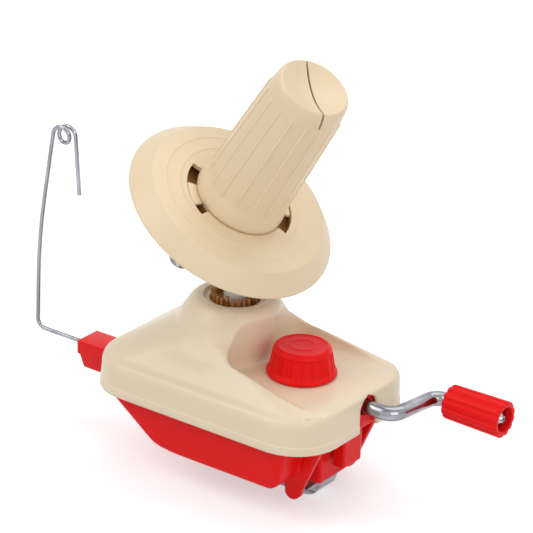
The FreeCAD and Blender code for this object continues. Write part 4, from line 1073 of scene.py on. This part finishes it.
def claw_distance(x, y, z, side):
    """One of the two claws, with a thinner back edge and a thicker foot."""
    blade = outline_distance(x, z, CLAW_OUTLINE, CLAW_CORNER)
    blade = np.minimum(blade, np.hypot(x - CLAW_TIP[0], z - CLAW_TIP[1]) - CLAW_TIP_RADIUS)
    back = (x - CLAW_BACK[0]) * CLAW_BACK_FACING[0] - (z - CLAW_BACK[1]) * CLAW_BACK_FACING[1]
    thick = (CLAW_HALF - CLAW_BACK_THIN * np.clip(CLAW_BACK_BEVEL - back, 0, 1)
             + CLAW_FOOT_THICK * np.clip(CLAW_FOOT - z, 0, 1))
    return smooth_max(blade, np.abs(y - side) - thick, CLAW_EDGE)


def base_distance(x, y, z):
    form = base_form(x, y, z)
    rim_plan = plan_distance(x, y, *RIM_PLAN)
    rim = without(common(rim_plan, BASE_HEIGHT - z, z - RIM_TOP), rim_plan + BASE_WALL, RIM_FLOOR - z)
    shell = np.minimum(common(form, z - BASE_TOP), rim)
    hold = smooth_max(plan_distance(x, y, *BLOCK_PLAN), BLOCK_BOTTOM - z, BLEND)
    hold = np.maximum(smooth_max(hold, z - BLOCK_TOP, BLEND), BLOCK_BACK - x)
    shell = smooth_min(shell, hold, BLEND)
    for side in (-CLAW_Y, CLAW_Y):
        shell = smooth_min(shell, claw_distance(x, y, z, side), BLEND)
    shell = np.minimum(without(shell, form + BASE_WALL, BASE_FLOOR - z), hold)
    groove = np.hypot(x - GROOVE_X, np.abs(y) - GROOVE_Y)
    groove = np.hypot(groove, np.maximum(GROOVE_FOOT - z, 0)) - GROOVE_RADIUS
    shell = smooth_max(shell, -np.maximum(groove, z - GROOVE_TOP), GROOVE_EDGE)
    shell = without(shell, box_distance(x, y, z, *JAW_SLOT))
    for at in POSTS_AT:
        low, high = zip((at, at + POST_LENGTH), POST_SIDES, POST_HEIGHTS)
        shell = np.minimum(shell, box_distance(x, y, z, low, high))
    shell = np.minimum(shell, box_distance(x, y, z, *SLOT_PLATE))
    shell = without(shell, np.hypot(y - CRANK_Y, z - CRANK_Z) - CRANK_BORE, CRANK_BORE_START - x)
    for at, side in SCREW_SPOTS:
        spot = np.hypot(x - at, np.abs(y) - side)
        boss = common(spot - BOSS_RADIUS, BOSS_HEIGHTS[0] - z, z - BOSS_HEIGHTS[1])
        shell = without(np.minimum(shell, boss), spot - SCREW_WELL, z - SCREW_WELL_TOP)
    return without(shell, np.hypot(x - KNOB_X, y - KNOB_Y) - BOLT_HOLE, z - BOLT_HOLE_TOP)


# Floor, light and camera

def lay_floor(given):
    wide = given.floor / 2
    low = CAD_BOX[0][2] - FLOOR_GAP
    corners = [(-wide, -wide, low), (wide, -wide, low), (wide, wide, low), (-wide, wide, low)]
    mesh = mesh_from("floor", corners, [(0, 1, 2, 3)], smooth=False)
    paper = bpy.data.materials.new("paper")
    paper.use_nodes = True
    tree = paper.node_tree
    feed(tree, tree.nodes["Principled BSDF"], {
        "Base Color": (*given.paper, 1), "Roughness": 0.9, "Specular IOR Level": 0.0,
        "Emission Color": (1, 1, 1, 1), "Emission Strength": maths(tree, "MULTIPLY", seen_rays(tree),
                                                                   given.glow)})
    mesh.materials.append(paper)
    floor = linked("floor", mesh)


def hang_sky(scene, given):
    """Soft light from all round, white where it is seen."""
    world = bpy.data.worlds.new("studio")
    world.use_nodes = True
    scene.world = world
    tree = world.node_tree
    background = tree.nodes["Background"]
    feed(tree, background, {"Color": (0.94, 0.96, 1.0, 1), "Strength": given.sky})
    seen = add_node(tree, "ShaderNodeBackground", {"Color": (1, 1, 1, 1), "Strength": 1.0})
    mix = add_node(tree, "ShaderNodeMixShader", {0: seen_rays(tree), 1: background, 2: seen})
    feed(tree, tree.nodes["World Output"], {0: mix})


def set_lamps(given):
    for name, at, width in LAMPS:
        lamp = bpy.data.lights.new(name, "AREA")
        lamp.energy = getattr(given, name)
        lamp.shape = "RECTANGLE"
        lamp.size = width
        lamp.size_y = width
        stand = linked(name, lamp)
        stand.location = at
        stand.rotation_euler = (LAMP_TARGET - Vector(at)).to_track_quat("-Z", "Y").to_euler()


def set_camera(scene):
    level = math.cos(CAMERA_ELEVATION)
    back = Vector((math.sin(CAMERA_AZIMUTH) * level, -math.cos(CAMERA_AZIMUTH) * level,
                   math.sin(CAMERA_ELEVATION)))
    right = Vector((math.cos(CAMERA_AZIMUTH), math.sin(CAMERA_AZIMUTH), 0))
    up = back.cross(right)
    right, up = (right * math.cos(CAMERA_ROLL) + up * math.sin(CAMERA_ROLL),
                 up * math.cos(CAMERA_ROLL) - right * math.sin(CAMERA_ROLL))
    data = bpy.data.cameras.new("camera")
    data.sensor_width = SENSOR
    data.lens = SENSOR * FOCAL_PIXELS / PHOTO_PIXELS
    data.clip_start, data.clip_end = 0.1, 50.0
    camera = linked("camera", data)
    spin = Matrix((right, up, back)).transposed().to_4x4()
    camera.matrix_world = Matrix.Translation(CAMERA_TARGET + back * CAMERA_DISTANCE) @ spin
    scene.camera = camera


# Operators

class WINDER_OT_finishes(bpy.types.Operator):
    """Make the node trees and the materials that the pieces share"""
    bl_idname = "winder.finishes"
    bl_label = "Make Finishes"

    def execute(self, context):
        build_finishes()
        TREES.update(round=round_repeat_tree(), placed=placed_repeat_tree(), rod=rod_tree())
        return {"FINISHED"}


class WINDER_OT_cover(bpy.types.Operator):
    """Build the cream cover with its roof, neck and knob platform"""
    bl_idname = "winder.cover"
    bl_label = "Build Cover"

    def execute(self, context):
        mesh = skin("cover", cover_distance, *COVER_ROOM)
        add_piece("cover", mesh, "housing", "cream_cover", "top_cover")
        return {"FINISHED"}


class WINDER_OT_base(bpy.types.Operator):
    """Build the red base with its clamp block, claws and guide bracket"""
    bl_idname = "winder.base"
    bl_label = "Build Base"

    def execute(self, context):
        mesh = skin("base", base_distance, *BASE_ROOM)
        add_piece("base", mesh, "housing", "red_base", "base_shell")
        hole = turned("hole", [(0, -2), (WIRE_HOLE, -2), (WIRE_HOLE, 26), (0, 26)], 24)
        hole.transform(Matrix.Translation((BRACKET_OUTLINE[0][0], 0, GUIDE_START.z))
                       @ Matrix.Rotation(QUARTER, 4, "Y"))
        arm = cut(block("bracket", BRACKET_OUTLINE, BRACKET_HALF, 0.5), [hole], "bracket")
        crease(arm)
        place(arm)
        add_piece("bracket", arm, "housing", "red_base", "guide_bracket")
        return {"FINISHED"}


class WINDER_OT_collar(bpy.types.Operator):
    """Build the toothed ring in the cover's mouth"""
    bl_idname = "winder.collar"
    bl_label = "Build Collar"

    def execute(self, context):
        parts = [turned("collar", rounded(COLLAR_OUTLINE, 0.3), 96)]
        inner, outer = TOOTH_RADII
        for count, top in TEETH:
            outline = [(inner, TOOTH_FOOT), (outer, TOOTH_FOOT), (outer, top), (inner, top)]
            tooth = block("tooth", outline, TOOTH_HALF, 0.25, 2)
            parts.append(round_copies("teeth", tooth, count, TEETH_START, "tan_nylon"))
        mesh = joined("collar", parts)
        crease(mesh)
        place(mesh)
        add_piece("collar", mesh, "housing", "tan_nylon", "neck_collar")
        return {"FINISHED"}


class WINDER_OT_saucer(bpy.types.Operator):
    """Build the saucer with its windows and fine rings, and the channel below in dark tan as painted shade
    """
    bl_idname = "winder.saucer"
    bl_label = "Build Saucer"

    def execute(self, context):
        line = sizes("spool").line / MM
        rings = []
        for r in RING_RADII:
            z = CREASE[1] + (CREASE[0] - r) * PLATE_SLOPE
            rings += [(r + RING_HALF, z), (r + RING_TOP_HALF, z + line), (r - RING_TOP_HALF, z + line),
                      (r - RING_HALF, z + 0.02)]
        outline = SAUCER_UNDER + SAUCER_RIM + rings + SAUCER_SEAT
        windows = [sector("window", *WINDOW_RADII, start, WINDOW_ANGLE, *WINDOW_HEIGHTS)
                   for start in WINDOW_STARTS]
        mesh = cut(turned("saucer", rounded(outline, 0.7, 3), 192), windows, "saucer")
        crease(mesh, 25)
        place(mesh, RIM_FRAME)
        add_piece("saucer_plate", mesh, "spool", "cream_spool", "saucer")
        # Painted shade: the channel under the windows is cream in the saucer, but is given the dark tan
        # finish to stand for the shade seen inside it.
        channel = turned("channel", rounded(CHANNEL_OUTLINE, 0.3, 3), 160)
        crease(channel)
        place(channel, RIM_FRAME)
        add_piece("saucer_channel", channel, "spool", "tan_nylon")
        return {"FINISHED"}


class WINDER_OT_spool(bpy.types.Operator):
    """Build the ribbed spool with its yarn slit"""
    bl_idname = "winder.spool"
    bl_label = "Build Spool"

    def execute(self, context):
        given = sizes("spool")
        shares = [k / DISH_STEPS for k in range(DISH_STEPS, -1, -1)]
        dish = [(DISH_RADIUS * s, DISH_FLOOR + DISH_RISE * s ** 2) for s in shares]
        body = turned("spool", rounded(SPOOL_OUTSIDE + dish + SPOOL_INSIDE, 1.4, 5), 160)
        slit = block("slit", SLIT_OUTLINE, given.slit / MM / 2, 0)
        slit.transform(Matrix.Translation((0, 0, SPOOL_TOP)) @ Matrix.Rotation(SLIT_AT, 4, "Z")
                       @ Matrix.Rotation(SLIT_LEAN, 4, "X"))
        body = cut(body, [slit], "spool")
        lugs = [sector("lug", *LUG_RADII, start, LUG_ANGLE, *LUG_HEIGHTS, 0.5) for start in LUG_STARTS]
        body = joined("spool", [body] + lugs)
        crease(body, 35)
        place(body, RIM_FRAME)
        add_piece("spool_body", body, "spool", "cream_spool", "spool_core")
        rib = arched_rib(given.rib_width / MM / 2, given.rib_height / MM)
        # The ribs take the lighter finish, a painted highlight.
        ribs = round_copies("spool_ribs", rib, given.ribs, 0.0, "cream_rib")
        place(ribs, RIM_FRAME)
        add_piece("spool_ribs", ribs, "spool", "cream_rib")
        return {"FINISHED"}


class WINDER_OT_crank(bpy.types.Operator):
    """Build the bent crank and its ribbed grip"""
    bl_idname = "winder.crank"
    bl_label = "Build Crank"

    def execute(self, context):
        given = sizes("crank")
        depth = given.rib_depth / MM
        slant = CRANK_THROW * math.tan(CRANK_SLANT)
        path = [(ROD_ENDS[0], CRANK_Y, CRANK_Z), (CRANK_BEND_X, CRANK_Y, CRANK_Z),
                (CRANK_BEND_X + slant, GRIP_Y, CRANK_Z), (ROD_ENDS[1], GRIP_Y, CRANK_Z)]
        bar = rod("crank_bar", path, given.rod, given.bend, "plated_steel", 40)
        journal = turned("journal", rounded(JOURNAL_OUTLINE, 0.3), 48)
        place(journal, CRANK_FRAME)
        pin = turned("grip_journal", GRIP_PIN_OUTLINE, 48)
        place(pin, GRIP_FRAME)
        mesh = joined("crank_bar", [bar, journal, pin])
        crease(mesh, 40)
        add_piece("crank_bar", mesh, "crank", "plated_steel", "crank_rod")

        def ridges(angle, radius, height):
            if radius < RIDGE_ROOT:
                return 0.0
            dip = min(1.0, max(0.0, (wave(angle, given.ribs) - RIDGE_SHARE) / RIDGE_FLANK))
            return -depth * dip * min(1.0, (radius - RIDGE_ROOT) / RIDGE_FADE)

        grip = turned("grip", rounded(GRIP_OUTLINE, 0.6), 288, ridges)
        crease(grip, 40)
        place(grip, GRIP_FRAME)
        add_piece("grip", grip, "grip", "red_grip", "crank_grip")
        return {"FINISHED"}


class WINDER_OT_knob(bpy.types.Operator):
    """Build the clamp knob with its flats"""
    bl_idname = "winder.knob"
    bl_label = "Build Knob"

    def execute(self, context):
        given = sizes("knob")
        depth = given.flat_depth / MM
        low, high = FLAT_HEIGHTS

        def flats(angle, radius, height):
            if radius < FLAT_ROOT or not low <= height <= high:
                return 0.0
            fade = min(1.0, height - low, high - height)
            return -depth * fade * min(1.0, (1 - wave(angle, given.flats)) * FLAT_SHARPNESS)

        knob = turned("knob", rounded(KNOB_OUTLINE, 0.7), 320, flats)
        crease(knob, 40)
        place(knob, KNOB_FRAME)
        add_piece("knob_cap", knob, "knob", "red_grip", "clamp_knob")
        return {"FINISHED"}


class WINDER_OT_guide(bpy.types.Operator):
    """Bend the yarn guide's wire with its eye"""
    bl_idname = "winder.guide"
    bl_label = "Build Guide"

    def execute(self, context):
        given = sizes("guide")
        eye = given.eye / MM
        first, last = math.pi - GUIDE_LEAN, TAIL_LEAN - 2 * math.pi
        coil = []
        for k in range(EYE_STEPS + 1):
            a = first + (last - first) * k / EYE_STEPS
            turns = (first - a) / (2 * math.pi)
            coil.append(Vector((EYE_X + EYE_SHIFT * turns + eye * math.cos(a), EYE_PITCH * turns,
                                EYE_Z + eye * math.sin(a))))
        up = Vector((math.sin(GUIDE_LEAN), 0, math.cos(GUIDE_LEAN)))
        knee = coil[0] - up * ((coil[0].x - GUIDE_FOOT.x) / up.x)
        tip = coil[-1] + Vector((math.sin(TAIL_LEAN), 0, -math.cos(TAIL_LEAN))) * TAIL_LENGTH
        points = ([GUIDE_START] + bend_points(GUIDE_START, GUIDE_FOOT, knee, FOOT_BEND)
                  + bend_points(GUIDE_FOOT, knee, coil[0], given.bow / MM) + coil + [tip])
        mesh = rod("guide_bent_wire", points, given.wire, 0.0, "guide_steel", 24)
        add_piece("guide_bent_wire", mesh, "guide", "guide_steel", "guide_wire")
        return {"FINISHED"}


class WINDER_OT_metalwork(bpy.types.Operator):
    """Give the arm, gears, clamp and fasteners smooth faces and their finishes"""
    bl_idname = "winder.metalwork"
    bl_label = "Build Metalwork"

    def execute(self, context):
        bodies = frame["record"]["behaviour"]["bodies"]
        owner = {node: body for body, nodes in bodies.items() for node in nodes}
        for look, nodes in SMOOTHED.items():
            for node in nodes:
                name = node + "_smooth"
                add_piece(name, node_copy(name, node), owner[node], look, node)
        head = turned("head", rounded(SCREW_HEAD, 0.3, 3), 40)
        notches = [block("notch", SCREW_NOTCH, SCREW_NOTCH_HALF, 0) for _ in range(2)]
        notches[1].transform(Matrix.Rotation(QUARTER, 4, "Z"))
        head = cut(head, notches, "head")
        shank = turned("shank", rounded(SCREW_SHANK, 0.2, 2), 24)
        spots = [(x, side * y, 0) for x, y in SCREW_SPOTS for side in (-1, 1)]
        screws = placed_copies("cover_screws", joined("screw", [head, shank]), spots,
                               (0, 0, SCREW_TURN), "plated_steel")
        crease(screws, 35)
        place(screws)
        add_piece("cover_screws", screws, "housing", "plated_steel",
                  "cover_screw_1", "cover_screw_2", "cover_screw_3", "cover_screw_4")
        looks = {node: look for look, nodes in PAINTED.items() for node in nodes}
        for name, node in frame["nodes"].items():
            if node.hide_render:
                continue
            material = FINISH[looks.get(name, "plated_steel")]
            if not node.material_slots:
                node.data.materials.append(material)
            for slot in node.material_slots:
                slot.material = material
        return {"FINISHED"}


class WINDER_OT_stage(bpy.types.Operator):
    """Set the floor, the lamps and the camera"""
    bl_idname = "winder.stage"
    bl_label = "Set Stage"

    def execute(self, context):
        given = sizes("stage")
        context.scene.view_settings.view_transform = "Standard"
        lay_floor(given)
        hang_sky(context.scene, given)
        set_lamps(given)
        set_camera(context.scene)
        return {"FINISHED"}


class WINDER_PT_panel(bpy.types.Panel):
    bl_label = "Yarn Ball Winder"
    bl_idname = "WINDER_PT_panel"
    bl_space_type = "VIEW_3D"
    bl_region_type = "UI"
    bl_category = "Winder"

    def draw(self, context):
        for name in GROUPS:
            box = self.layout.box()
            box.label(text=name.capitalize())
            group = sizes(name)
            for key in group.bl_rna.properties.keys():
                if key not in ("rna_type", "name"):
                    box.prop(group, key)
        for operator in STEPS:
            self.layout.operator(operator.bl_idname)


GROUPS = {"housing": HousingSizes, "spool": SpoolSizes, "crank": CrankSizes, "knob": KnobSizes,
          "guide": GuideSizes, "finishes": Finishes, "stage": StageSizes}
STEPS = (WINDER_OT_finishes, WINDER_OT_stage, WINDER_OT_cover, WINDER_OT_base, WINDER_OT_collar,
         WINDER_OT_saucer, WINDER_OT_spool, WINDER_OT_crank, WINDER_OT_knob, WINDER_OT_guide,
         WINDER_OT_metalwork)


def register():
    for name, group in GROUPS.items():
        bpy.utils.register_class(group)
        setattr(bpy.types.Scene, "winder_" + name, PointerProperty(type=group))
    for step in STEPS + (WINDER_PT_panel,):
        bpy.utils.register_class(step)


def unregister():
    for step in (STEPS + (WINDER_PT_panel,))[::-1]:
        bpy.utils.unregister_class(step)
    for name, group in GROUPS.items():
        delattr(bpy.types.Scene, "winder_" + name)
        bpy.utils.unregister_class(group)


def main():
    register()
    for step in STEPS:
        family, name = step.bl_idname.split(".")
        getattr(getattr(bpy.ops, family), name)()


if __name__ == "__main__":
    main()
